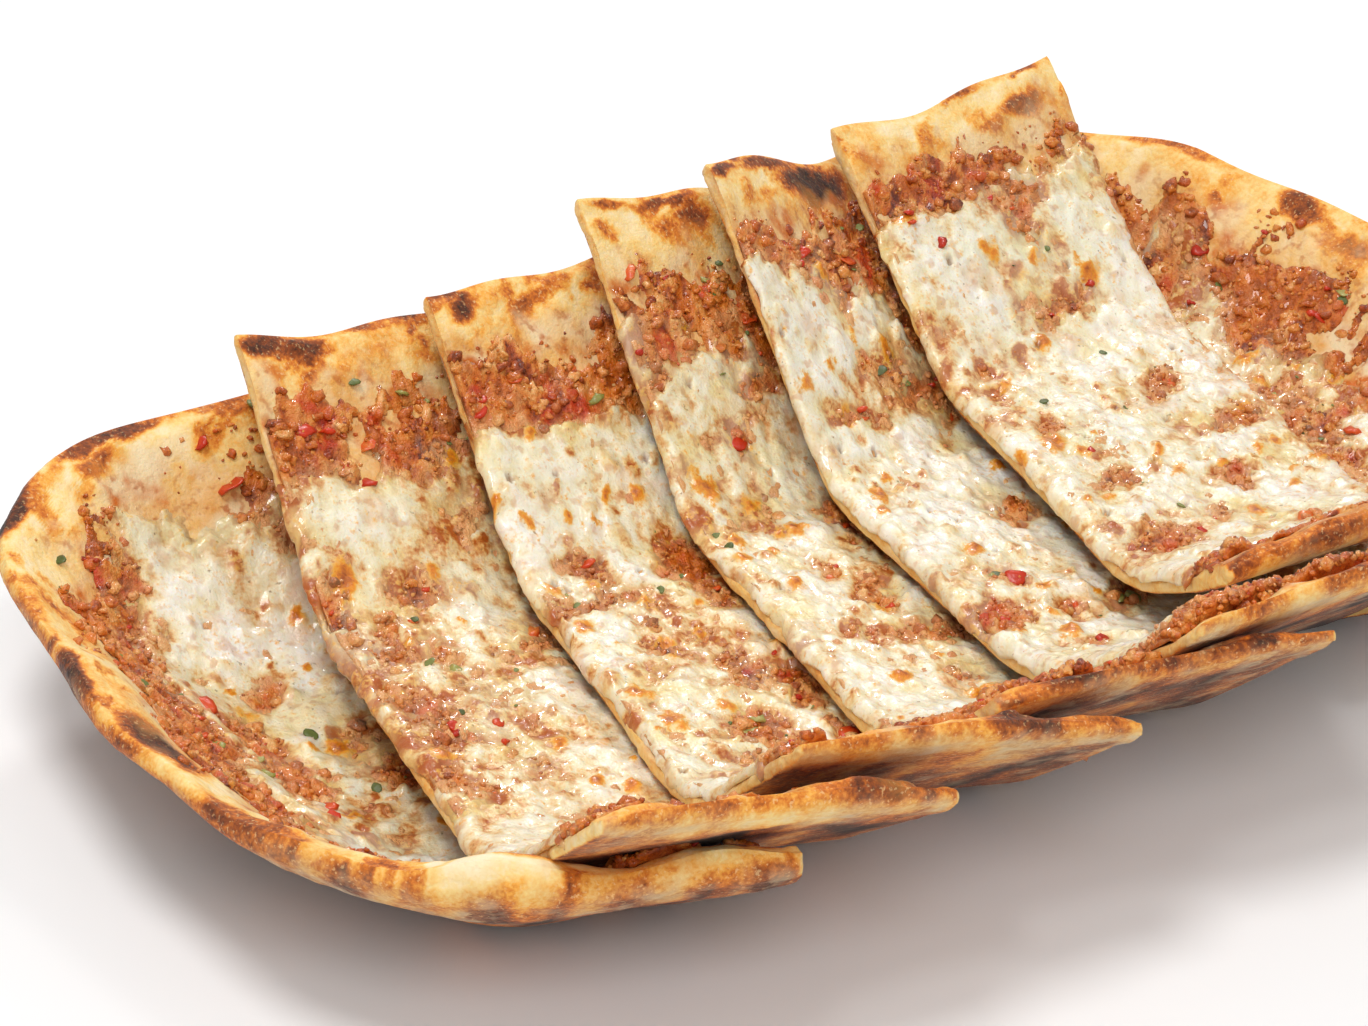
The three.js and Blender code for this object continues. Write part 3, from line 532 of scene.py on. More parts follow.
def spread(stops):   # places from a list of (place, spacing): spacing changes evenly between the stops
    places = [stops[0][0]]
    for (start, first), (end, last) in zip(stops, stops[1:]):
        number = max(int(round((end - start) * 2 / (first + last))), 1)
        t = np.linspace(0, 1, number + 1)[1:]
        weight = first + (last - first) * (t - 0.5 / number)
        run = np.cumsum(weight)
        places += list(start + (end - start) * run / run[-1])
    return np.array(places)


def surface(s, height):
    return np.stack([s.x, s.y, height], -1)


def gridOf(p, kind):
    if p in slices:
        length = p["length"]
        if kind == "dough":
            us = spread([(0, 0.006), (0.06, 0.018), (0.94, 0.018), (1, 0.006)])
            rows = spread([(0, 0.12), (4, 0.6), (22, 0.8), (34, 1.6), (length - 34, 1.6), (length - 18, 0.7),
                           (length - 4, 0.6), (length, 0.12)])
        elif kind == "meat":
            us = spread([(0.004, 0.0108), (0.996, 0.0108)])
            rows = spread([(8, 0.63), (length - 8, 0.63)])
        else:
            us = spread([(-0.012, 0.005), (0.03, 0.0105), (0.97, 0.0105), (1.012, 0.005)])
            rows = spread([(14, 0.62), (length - 16, 0.62)])
    else:
        if kind == "dough":
            us = spread([(0, 0.02), (0.6, 0.018), (0.78, 0.0095), (0.97, 0.007), (1, 0.0012)])
            half = spread([(0, 0.018), (0.6, 0.018), (0.78, 0.0085), (0.97, 0.006), (1, 0.0012)])
        elif kind == "meat":
            us = spread([(0, 0.0092), (0.93, 0.0085)])
            half = spread([(0, 0.008), (0.93, 0.0078)])
        else:
            us = spread([(0, 0.0085), (0.7, 0.0085)])
            half = spread([(0, 0.0075), (0.8, 0.0075)])
        rows = np.concatenate([-half[::-1], half[1:]])
    return np.meshgrid(us, rows)


doughLook = dict(bubbleSize=11, bubbleRise=0.9, blisterSize=7.5, wallRows=7, rollWidth=0.62, rimAngle=45,
                 rimInset=0.293, cutSwell=0.3, sharpAngle=55)


def makeDough(p):
    u, w = gridOf(p, "dough")
    flat = p["place"](p, u, w)
    edge, depth = flat.edge, flat.depth
    inset = doughLook["rimInset"] * doughLook["rollWidth"] * depth * (1 - ease(edge / 7))
    if p in slices:
        s = p["place"](p, u, w + np.where(flat.near < flat.far, inset, -inset))
    else:
        kept = 1 - inset / abs(p["reach"])
        s = p["place"](p, u * kept, w * kept)
    fx, fy, seed = flat.flatX, flat.flatY, p["seed"]
    noise = noiseOn(p, flat)
    crust = flat.crust
    roll = doughLook["rollWidth"] * depth   # half width of the crust's round rim
    rimAngle, cutSwell = math.radians(doughLook["rimAngle"]), doughLook["cutSwell"]
    drawn = 1 - math.cos(rimAngle)   # how far in the grid stops, as a share of it
    inRim = drawn + np.clip(edge / roll, 0, 1) * (1 - drawn)
    share = np.sqrt(np.clip(1 - (1 - inRim) ** 2, 0, 1))
    bubbles = np.clip(noise(doughLook["bubbleSize"], 10) + 0.1, -0.6, 1.2)
    away, tone = grains(fx, fy, doughLook["blisterSize"], seed + 20)
    blister = np.where(tone > 0.7, dome(away, 1.1 + 5 * (tone - 0.7)), 0)
    skin = 0.1 * noise(2.2, 30)
    inward = ease(edge / 3)
    rise = crust * inward * (doughLook["bubbleRise"] * bubbles + 0.55 * blister) + skin * inward
    if p in slices:
        hump = 0.9 * rough(fx, 0 * fx + 5, 9, seed + 70, 2) + sum(swelling(u, one) for one in p["humps"])
        rise = rise + hump * ease((15 - flat.near) / 8) * ease(flat.near / 1.5)
        crease = rough(fx * 0.35, fy * 1.1, 4.0, seed + 75)
        rise = rise + 0.5 * np.minimum(crease, 0.3) * ease((10 - flat.near) / 5) * ease(flat.near / 1.5)
    under = s.under + depth * 0.5 * (1 - share)
    top = s.under + depth * (0.5 + 0.5 * share) + rise
    sag = crust * inward * 0.5 * noise(9, 40) + 0.08 * noise(2.5, 45) * inward
    under = np.maximum(under + np.maximum(sag, -0.25), 0.0)
    burn = np.zeros(fx.shape)
    for patch in p["burns"]:
        burn = np.maximum(burn, burnField(p, s, *patch))
    toast = 0.17 + 0.07 * noise(12, 50)
    blotch = ease(3.4 * noise(5.0, 52) - 0.95)
    outer = 0.23 + 0.12 * noise(12, 51) + 0.08 * noise(2.6, 63) + 0.3 * blotch
    outer = outer - sum(0.045 * swelling(np.radians(flat.turn), one) for one in p["puffs"])
    lip = ease((3.0 - edge) / 3)
    if p in slices:
        nearSide = ease((22 - s.near) / 8)
        ridge = 0.12 * swelling(flat.near, (3.5, 3.5, 1)) * (0.6 + 0.8 * rough(fx, 0 * fx + 9, 8, seed + 64))
        nearOuter = p["nearToast"] - 0.05 + 0.18 * noise(8, 53, 4) + 0.16 * blotch + ridge
        outer = mix(outer, nearOuter, nearSide)
    outer = outer + 0.1 * lip + 0.15 * blister * (tone > 0.8)
    toast = mix(toast, outer, ease((13.5 - edge) / 7))
    toastTop = np.maximum(toast, burn)
    # Underside colour: partly the real bake, partly painted shade. The base level is dark and gets darker away
    # from the rim. It also follows each slice's near-crust browning, as shade under the piece.
    toastAndShadeUnder = 0.66 + 0.14 * ease((edge - 4) / 7) + 0.16 * noise(15, 54)
    toastAndShadeUnder = toastAndShadeUnder + 0.24 * rough(fx, 0.4 * fy, 5, seed + 55) - 0.08 * ease((8 - edge) / 6)
    if p in slices:
        toastAndShadeUnder = toastAndShadeUnder + 0.5 * (p["nearToast"] - 0.5) * ease((18 - flat.near) / 8)
        toastAndShadeUnder = toastAndShadeUnder - 0.16 * ease((4 - flat.near) / 4)
    toastAndShadeUnder = np.maximum(toastAndShadeUnder, (0.45 if p in slices else 0.85) * burn * ease((6 - edge) / 5))
    flour = np.clip(0.6 + 0.9 * rough(fx, 0.4 * fy, 7, seed + 56), 0, 1)
    # Less flour away from the rim: painted shade on the underside.
    flour = flour * ease((edge + 3) / 4) * (1 - 0.5 * ease((edge - 5) / 7))
    oil = ease((s.meatRoom + 6.5 + 4.5 * noise(6, 57)) / 5)
    oil = oil * (0.66 + 0.34 * noise(7, 60))
    none = 0 * fx
    reach = np.where(flat.cutRoom < 0.01, cutSwell, roll)

    def swell(row, t, reach):
        x, y, z = row.T
        side = math.sin(rimAngle) * (2 * t - 1)
        bulge = reach * (math.sqrt(1 - side ** 2) - math.cos(rimAngle))
        crumb = 0.32 * rough(x + y, z * 1.4, 3.2, seed + 58) + 0.4 * rough(y, 0 * y + 3, 12, seed + 66, 2)
        bow = math.sin(math.pi * t)
        wrinkle = np.minimum(0.35 * rough(x * 0.4, z * 1.6, 3.2, seed + 67, 2) * bow, 0.2)
        return bulge + np.where(reach <= cutSwell, 0.25 * bow + crumb, 0.3 * crumb + wrinkle)

    def rimToast(row, t):   # darker and patchy along the upper shoulder of the rim
        x, y, z = row.T
        patchy = rough(x + 0.3 * y, 1.2 * z + 0.5 * y, 4.5, seed + 62)
        return 0.12 * math.exp(-((t - 0.72) / 0.25) ** 2) * (0.5 + 1.3 * patchy)

    # Cut faces: a tan level of painted shade on the crumb, darker towards the top and bottom where the crust
    # skin is browned.
    def cutShadeAndCrust(row, t):
        x, y, z = row.T
        return 0.22 + 0.3 * max(abs(2 * t - 1) - 0.55, 0) + 0.13 * rough(x + y, z, 4, seed + 59)

    def onWall(cut, more=lambda row, t: 0):   # cut faces have their own value, the rim keeps that of its sides
        return lambda level, row, t, reach: np.where(reach <= cutSwell, cut(row, t), level + more(row, t))

    wallValues = dict(
        flour=onWall(lambda row, t: 0.0), oil=onWall(lambda row, t: 0.35 * t * t),
        toast=onWall(cutShadeAndCrust, rimToast))
    keep = np.ones((u.shape[0] - 1, u.shape[1] - 1), bool)
    return closedSheet(
        "dough_look_" + p["name"], surface(s, top), surface(s, under), keep,
        dict(toast=(toastTop, toastAndShadeUnder), flour=(none, flour), oil=(oil, none)),
        p["mirrored"], doughLook["wallRows"], swell, wallValues, doughLook["sharpAngle"], reach)


def sauceOn(p, s, melt):   # how oily, how red with tomato and how much under a film of cheese
    noise = noiseOn(p, s)
    return ease(0.45 + 0.75 * noise(8, 290)), ease(1.6 * noise(5.5, 295) - 0.55), 0.62 * ease(melt + 0.75)


def makeMeat(p):
    u, w = gridOf(p, "meat")
    s = p["place"](p, u, w)
    height, _, tone = meatRelief(p, s)
    base = s.under + s.depth
    top = base + layers["gap"] + height
    under = np.minimum(base + 0.12, top - 0.25)
    keep = np.minimum.reduce(cornersOf(height)) > -0.55
    _, melt, _, _ = cheeseRelief(p, s, height)
    stain, red, film = sauceOn(p, s, melt)
    return closedSheet(
        "meat_look_" + p["name"], surface(s, top), surface(s, under), keep,
        dict(tone=(tone, tone), stain=(stain, stain), red=(red, red), film=(film, film)), p["mirrored"], 1)


def makeCheese(p):
    u, w = gridOf(p, "cheese")
    s = p["place"](p, u, w)
    meat, room, _ = meatRelief(p, s)
    height, melt, blister, shadedPit = cheeseRelief(p, s, meat)
    base = s.under + s.depth + layers["gap"]
    droop = np.zeros(u.shape)
    if p in slices:
        edge = s.cutRoom + 0.7
        droop = cheeseLook["droop"] * (1 - np.sqrt(1 - (1 - np.clip(edge / 2.8, 0, 1)) ** 2))
        lean = rough(0 * s.flatY + 9.0 * (u > 0.5), s.flatY, 7, p["seed"] + 400, 4)
        s.x = s.x + lean * ease(1 - edge / 3.5) * np.where(u > 0.5, 1, -1)
    top = base + height - droop
    under = np.minimum(np.maximum(base + 0.05, top - 2.4), top - 0.35)
    if p in slices:
        hang = 0.3 + 1.3 * ease(0.4 + rough(0 * s.flatY, s.flatY, 7, p["seed"] + 410))
        under = under - hang * ease(1 - s.cutRoom)
    keep = np.maximum.reduce(cornersOf(melt)) > -0.35
    bread = ease(0.5 - 0.5 * room)
    if p in slices:
        nearCut = ease(1 - s.cutRoom / 5)
        melt = melt - (0.16 + 0.35 * rough(s.flatX, s.flatY, 3.5, p["seed"] + 420)) * nearCut
    return closedSheet(
        "cheese_look_" + p["name"], surface(s, top), surface(s, under), keep,
        dict(melt=(melt, melt), blister=(blister, blister), shadedPit=(shadedPit, 0 * shadedPit), bread=(bread, bread)),
        p["mirrored"], 2, lambda row, t, reach: np.full(len(row), 0.25 * math.sin(math.pi * t)))


def paint(code):   # a screen colour such as "e6ab5a" as linear light
    parts = [int(code[k:k + 2], 16) / 255 for k in (0, 2, 4)]
    return tuple(c / 12.92 if c <= 0.04045 else ((c + 0.055) / 1.055) ** 2.4 for c in parts) + (1.0,)


def setInputs(node, values):   # sockets are linked, anything else is a constant
    for key, value in values.items():
        if isinstance(value, bpy.types.NodeSocket):
            node.id_data.links.new(value, node.inputs[key])
        else:
            node.inputs[key].default_value = value


def addNode(tree, kind, inputs=None, **settings):
    node = tree.nodes.new(kind)
    for key, value in settings.items():
        setattr(node, key, value)
    setInputs(node, inputs or {})
    return node


def calc(how, a, b, clamp=False):   # made in the tree that its socket belongs to
    tree = (a if isinstance(a, bpy.types.NodeSocket) else b).id_data
    return addNode(tree, "ShaderNodeMath", {0: a, 1: b}, operation=how, use_clamp=clamp).outputs[0]


def plus(a, b, clamp=False):
    return calc("ADD", a, b, clamp)


def minus(a, b, clamp=False):
    return calc("SUBTRACT", a, b, clamp)


def times(a, b, clamp=False):
    return calc("MULTIPLY", a, b, clamp)


def ramp(factor, stops):
    node = addNode(factor.id_data, "ShaderNodeValToRGB", {0: factor})
    band = node.color_ramp
    while len(band.elements) < len(stops):
        band.elements.new(0.5)
    for element, (place, code) in zip(band.elements, stops):
        element.position = place
        element.color = paint(code)
    return node.outputs[0]


def blend(factor, under, over):   # colours are sockets or codes
    under, over = [paint(c) if isinstance(c, str) else c for c in (under, over)]
    return addNode(factor.id_data, "ShaderNodeMix", {0: factor, 6: under, 7: over}, data_type="RGBA").outputs[2]


def attribute(tree, name):
    return addNode(tree, "ShaderNodeAttribute", attribute_name=name).outputs["Fac"]


def spotty(tree, scale, threshold, sharpness):   # soft patches: 1 inside, 0 outside
    place = addNode(tree, "ShaderNodeTexCoord").outputs["Object"]
    noise = addNode(tree, "ShaderNodeTexNoise", {"Vector": place, "Scale": scale, "Detail": 2.0})
    return times(minus(noise.outputs[0], threshold), sharpness, True)


def addSpots(colour, gate, spots):   # each is scale, threshold, sharpness, strength and colour
    for scale, threshold, sharpness, strength, code in spots:
        share = times(gate, strength) if gate else strength
        colour = blend(times(spotty(colour.id_data, scale, threshold, sharpness), share, True), colour, code)
    return colour


def makeSpeckle():   # fine noise of two sizes, shared by all finishes
    group = bpy.data.node_groups.new("fine speckle", "ShaderNodeTree")
    for name, value in (("Coarse Size", 300.0), ("Fine Size", 1100.0)):
        group.interface.new_socket(name, in_out="INPUT", socket_type="NodeSocketFloat").default_value = value
    for name in ("Coarse", "Fine", "Height"):
        group.interface.new_socket(name, in_out="OUTPUT", socket_type="NodeSocketFloat")
    start = addNode(group, "NodeGroupInput")
    place = addNode(group, "ShaderNodeTexCoord").outputs["Object"]
    coarse, fine = [
        addNode(group, "ShaderNodeTexNoise", {
            "Vector": place, "Scale": start.outputs[k], "Detail": detail, "Roughness": 0.6}).outputs[0]
        for k, detail in ((0, 3.0), (1, 2.0))]
    addNode(group, "NodeGroupOutput", {0: coarse, 1: fine, 2: plus(times(coarse, 0.65), times(fine, 0.35))})
    return group


speckle = makeSpeckle()


def newMaterial(name, sizes, bumpDepth, bumpStrength, radius, fixed):
    material = bpy.data.materials.new(name)
    material.use_nodes = True
    tree = material.node_tree
    shader = tree.nodes["Principled BSDF"]
    noise = addNode(tree, "ShaderNodeGroup", {0: sizes[0], 1: sizes[1]}, node_tree=speckle)
    coarse, fine, height = noise.outputs
    bump = addNode(tree, "ShaderNodeBump", {"Height": height, "Distance": bumpDepth, "Strength": bumpStrength})
    setInputs(shader, {"Normal": bump.outputs[0], "Subsurface Radius": radius, **fixed})
    return material, tree, shader, coarse, fine


def makeDoughFinish():
    material, tree, shader, coarse, fine = newMaterial(
        "baked dough", sizes=(420.0, 1300.0), bumpDepth=0.0007, bumpStrength=0.8, radius=(2.0, 1.0, 0.5),
        fixed={"Specular IOR Level": 0.35, "Subsurface Weight": 0.12, "Subsurface Scale": 0.001,
               "Sheen Weight": 0.05})
    # toast: the baked colour of the top, with painted shade on the undersides and cut faces.
    toast, oiled = attribute(tree, "toast"), attribute(tree, "oil")
    shift = plus(times(minus(coarse, 0.5), 0.75), times(minus(fine, 0.5), 0.75))
    gate = plus(times(minus(1.25, toast), times(toast, 1.3)), 0.1)
    level = plus(toast, times(shift, gate), True)
    baked = ramp(level, [(0.0, "f7e6bf"), (0.22, "f5d184"), (0.4, "f0aa46"), (0.56, "d27424"),
                         (0.72, "92481c"), (0.88, "532b18"), (1.0, "2b1a14")])
    floury = ramp(level, [(0.0, "e6d2ae"), (0.3, "cfae80"), (0.5, "a97f55"), (0.7, "7a5036"), (1.0, "3a231a")])
    flour = times(attribute(tree, "flour"), 0.7)
    colour = addSpots(blend(flour, baked, floury), flour, [(260.0, 0.46, 6.0, 1.0, "cdb794")])
    oil = times(oiled, plus(0.35, times(coarse, 0.8)), True)
    colour = addSpots(blend(oil, colour, "dc9644"), oil, [
        (120.0, 0.5, 6.0, 1.3, "efdcb4"), (170.0, 0.53, 7.0, 1.7, "cc6a1c"),
        (430.0, 0.56, 9.0, 1.2, "b8662e")])
    some = times(times(toast, 2.2), minus(1.0, toast, True), True)
    colour = addSpots(colour, some, [(1500.0, 0.6, 12.0, 1.0, "efc98e")])
    setInputs(shader, {"Base Color": colour, "Roughness": minus(0.68, times(oiled, 0.3))})
    return material


def makeMeatFinish():
    material, tree, shader, coarse, fine = newMaterial(
        "minced meat", sizes=(750.0, 2000.0), bumpDepth=0.0012, bumpStrength=0.9, radius=(2.0, 0.7, 0.35),
        fixed={"Specular IOR Level": 0.5, "Subsurface Weight": 0.12, "Subsurface Scale": 0.001,
               "Coat Weight": 0.45, "Coat Roughness": 0.08})
    vary = times(minus(coarse, 0.5), 1.3)
    meat = ramp(plus(attribute(tree, "tone"), vary, True), [
        (0.0, "64220a"), (0.25, "ac4a12"), (0.5, "d0701e"), (0.75, "e29240"), (1.0, "f0b670")])
    meat = addSpots(meat, None, [(190.0, 0.53, 7.0, 0.5, "da8c52"), (240.0, 0.56, 8.0, 0.55, "843210")])
    colour = blend(times(attribute(tree, "stain"), 0.48), meat, "da6e0a")
    colour = blend(times(attribute(tree, "red"), plus(0.25, fine), True), colour, "cc340c")
    colour = blend(plus(attribute(tree, "film"), times(vary, 0.25), True), colour, "e6b47c")
    setInputs(shader, {"Base Color": colour, "Roughness": plus(0.2, times(fine, 0.35))})
    return material


def makeCheeseFinish():
    material, tree, shader, coarse, fine = newMaterial(
        "melted cheese", sizes=(360.0, 1100.0), bumpDepth=0.0006, bumpStrength=0.9, radius=(2.0, 1.2, 0.6),
        fixed={"Specular IOR Level": 0.6, "Subsurface Weight": 0.25, "Subsurface Scale": 0.0015,
               "Coat Roughness": 0.07})
    broad, grain = minus(coarse, 0.5), minus(fine, 0.5)
    thick = plus(attribute(tree, "melt"), plus(times(broad, 1.5), times(grain, 0.7)))
    level = times(thick, 0.8, True)
    cream = ramp(level, [(0.0, "b05a1c"), (0.08, "c67e3c"), (0.18, "d8a062"), (0.3, "e6c48e"),
                         (0.44, "eddcb4"), (0.6, "f1e7cc"), (1.0, "f7f2e6")])
    overBread = ramp(level, [(0.0, "dcac6e"), (0.2, "e6ca98"), (0.5, "eedfba"), (1.0, "f4eed8")])
    colour = addSpots(blend(attribute(tree, "bread"), cream, overBread), None, [
        (95.0, 0.52, 6.0, 0.6, "ecd58c"), (140.0, 0.55, 6.0, 0.38, "dfa474"),
        (60.0, 0.52, 6.0, 0.35, "e6e4c8"), (380.0, 0.6, 12.0, 0.5, "d09a6c"),
        (230.0, 0.62, 12.0, 0.4, "bc7846"), (900.0, 0.68, 12.0, 0.7, "8a6a35")])
    blister = plus(attribute(tree, "blister"), times(plus(broad, grain), 0.9))
    browned = ramp(blister, [(0.0, "f0d070"), (0.25, "eeae38"), (0.6, "de8418"), (1.0, "a8541a")])
    colour = blend(times(minus(blister, 0.05), 3.0, True), colour, browned)
    # Dents painted dark brown: painted shade in the holes.
    colour = blend(times(attribute(tree, "shadedPit"), 0.8), colour, "7d4a28")
    setInputs(shader, {"Base Color": colour, "Roughness": plus(0.24, times(fine, 0.25)),
                       "Coat Weight": times(spotty(tree, 140.0, 0.38, 3.5), 0.9)})
    return material


def makeBitFinish(name, stops, gloss, subsurface=0.2):
    material, tree, shader, coarse, fine = newMaterial(
        name, sizes=(600.0, 1700.0), bumpDepth=0.0004, bumpStrength=0.6, radius=(2.0, 0.6, 0.3),
        fixed={"Specular IOR Level": 0.55, "Subsurface Weight": subsurface, "Subsurface Scale": 0.001})
    tone = plus(attribute(tree, "tone"), times(minus(coarse, 0.5), 0.7), True)
    setInputs(shader, {"Base Color": ramp(tone, stops), "Roughness": plus(gloss, times(fine, 0.2))})
    return material


def makeStrewTree():   # a lumpy ball on each point, turned and sized by the point's own values
    tree = bpy.data.node_groups.new("strew bits", "GeometryNodeTree")
    for name, kind, value in (
            ("Geometry", "Geometry", None), ("Lump Size", "Float", 1.2), ("Lump Depth", "Float", 0.3),
            ("Seed", "Float", 0.0), ("Faces", "Int", 2), ("Material", "Material", None)):
        socket = tree.interface.new_socket(name, in_out="INPUT", socket_type="NodeSocket" + kind)
        if value is not None:
            socket.default_value = value
    tree.interface.new_socket("Geometry", in_out="OUTPUT", socket_type="NodeSocketGeometry")
    start = addNode(tree, "NodeGroupInput").outputs
    ball = addNode(tree, "GeometryNodeMeshIcoSphere", {"Radius": 1.0, "Subdivisions": start["Faces"]})
    spin, size = [
        addNode(tree, "GeometryNodeInputNamedAttribute", {"Name": name}, data_type="FLOAT_VECTOR").outputs[0]
        for name in ("spin", "size")]
    turned = addNode(tree, "FunctionNodeEulerToRotation", {0: spin})
    placed = addNode(tree, "GeometryNodeInstanceOnPoints", {
        "Points": start[0], "Instance": ball.outputs["Mesh"], "Rotation": turned.outputs[0], "Scale": size})
    real = addNode(tree, "GeometryNodeRealizeInstances", {0: placed.outputs[0]})
    where = addNode(tree, "GeometryNodeInputPosition")
    noise = addNode(tree, "ShaderNodeTexNoise", {
        "Vector": where.outputs[0], "W": start["Seed"], "Scale": calc("DIVIDE", 1.0, start["Lump Size"]),
        "Detail": 1.0}, noise_dimensions="4D")
    amount = times(minus(noise.outputs[0], 0.5), start["Lump Depth"])
    normal = addNode(tree, "GeometryNodeInputNormal")
    offset = addNode(tree, "ShaderNodeVectorMath", {0: normal.outputs[0], "Scale": amount}, operation="SCALE")
    moved = addNode(tree, "GeometryNodeSetPosition", {"Geometry": real.outputs[0], "Offset": offset.outputs[0]})
    smooth = addNode(tree, "GeometryNodeSetShadeSmooth", {0: moved.outputs[0]})
    finish = addNode(tree, "GeometryNodeSetMaterial", {0: smooth.outputs[0], "Material": start["Material"]})
    addNode(tree, "NodeGroupOutput", {0: finish.outputs[0]})
    return tree


strewTree = makeStrewTree()


def strew(name, spots, material, lumpSize, lumpDepth, seed, faces=2):
    at, size, spin, *values = [np.array([spot[key] for spot in spots]) for key in spots[0]]
    mesh = newMesh(name + " places", at)
    addValues(mesh, dict(spin=spin, size=size * mm), "FLOAT_VECTOR", "vector")
    addValues(mesh, dict(zip(("tone", "stain", "red", "film"), values)))
    holder = addObject(name + " places", mesh)
    modifier = holder.modifiers.new("strew", "NODES")
    modifier.node_group = strewTree
    values = {"Lump Size": lumpSize * mm, "Lump Depth": lumpDepth * mm, "Seed": float(seed), "Faces": faces,
              "Material": material}
    for item in strewTree.interface.items_tree:
        if item.in_out == "INPUT" and item.name in values:
            modifier[item.identifier] = values[item.name]
    bpy.context.view_layer.update()
    made = bpy.data.meshes.new_from_object(holder.evaluated_get(bpy.context.evaluated_depsgraph_get()))
    bpy.data.objects.remove(holder)
    return addObject(name, made)


def toppingAt(p, u, w):   # heights of both toppings at scattered places
    s = p["place"](p, u, w)
    meat, room, _ = meatRelief(p, s)
    cheese, melt, _, _ = cheeseRelief(p, s, meat)
    base = s.under + s.depth + layers["gap"]
    return s, base, meat, cheese, melt, room


def scatterPlaces(p, number, rng):
    if p in slices:
        return rng.uniform(0.01, 0.99, number), rng.uniform(10, p["length"] - 10, number)
    return rng.uniform(0.0, 0.93, number), rng.uniform(-0.93, 0.93, number)


def spotsOf(height, size, flat, rng, s, sauce):
    made = []
    for k in range(len(size)):
        wide = size[k] * rng.uniform(0.8, 1.25)
        made.append(dict(
            at=(float(s.x[k]) - centre[0], float(s.y[k]) - centre[1], float(height[k])),
            size=(wide, size[k] * rng.uniform(0.7, 1.1), size[k] * flat * rng.uniform(0.75, 1.1)),
            spin=(rng.uniform(-0.5, 0.5), rng.uniform(-0.5, 0.5), rng.uniform(0, 6.28)),
            tone=rng.uniform(0.1, 0.9), stain=float(sauce[0][k]) * rng.uniform(0.5, 1.1),
            red=float(sauce[1][k]) * rng.uniform(0.4, 1), film=float(sauce[2][k]) * rng.uniform(0.3, 1)))
    return made


crumbLook = {
    "coarse": dict(seed=11, tries=1000, least=0.65, most=1.55, flat=0.74, sink=-0.22, stray=0.09, clumped=9.0,
                   heap=dict(many=1.0, least=0.6, most=1.2)),
    "fine": dict(seed=12, tries=3800, least=0.26, most=0.58, flat=0.8, sink=0.1, stray=0.26, clumped=1.8,
                 heap=dict(many=6.0, least=0.35, most=0.7)),
}


def heapPlaces(p, rng, many, least, most):   # crumbs piled into each heap beside the crust
    spots = []
    for u, v, size, tall in p["piles"]:
        number = int(many * size * tall)
        away, turn = size * rng.uniform(0.1, 0.95, number) ** 0.7, rng.uniform(0, 2 * math.pi, number)
        at = np.clip(u + away * np.cos(turn) / sliceWidth, 0.01, 0.99)
        row = np.clip(p["row"](v) + away * np.sin(turn), 6, 30)
        s, base, meat, _, melt, _ = toppingAt(p, at, row)
        wide = rng.uniform(least, most, number)
        height = base + np.maximum(meat, 0) * rng.uniform(0.8, 1.0, number)
        spots += spotsOf(height, wide, 0.8, rng, s, sauceOn(p, s, melt))
    return spots


def mincePlaces(seed, tries, least, most, flat, sink, stray, clumped, heap):
    rng = np.random.default_rng(seed)
    spots = []
    for p in pieces:
        u, w = scatterPlaces(p, tries, rng)
        s, base, meat, _, melt, room = toppingAt(p, u, w)
        luck = rng.uniform(0, 1, len(u))
        bare = (melt < 0.25 * luck) & (room > -0.3)
        loose = (room <= -0.3) & (s.meatRoom > -7)
        if p in slices:
            loose = loose & (luck < stray)
        else:   # on the ends they lie in clumps
            clump = rough(s.x, s.y, 5.5, p["seed"] + 410) > 0.18
            loose = loose & clump & (luck < stray * clumped)
        size = mix(least, most, rng.uniform(0, 1, len(u)) ** 1.5)
        height = base + np.where(bare, np.maximum(meat, 0), -layers["gap"]) + size * sink
        keep = bare | loose
        s = SimpleNamespace(**{key: value[keep] for key, value in vars(s).items()})
        spots += spotsOf(height[keep], size[keep], flat, rng, s, sauceOn(p, s, melt[keep]))
        if p in slices:
            spots += heapPlaces(p, rng, **heap)
    return spots


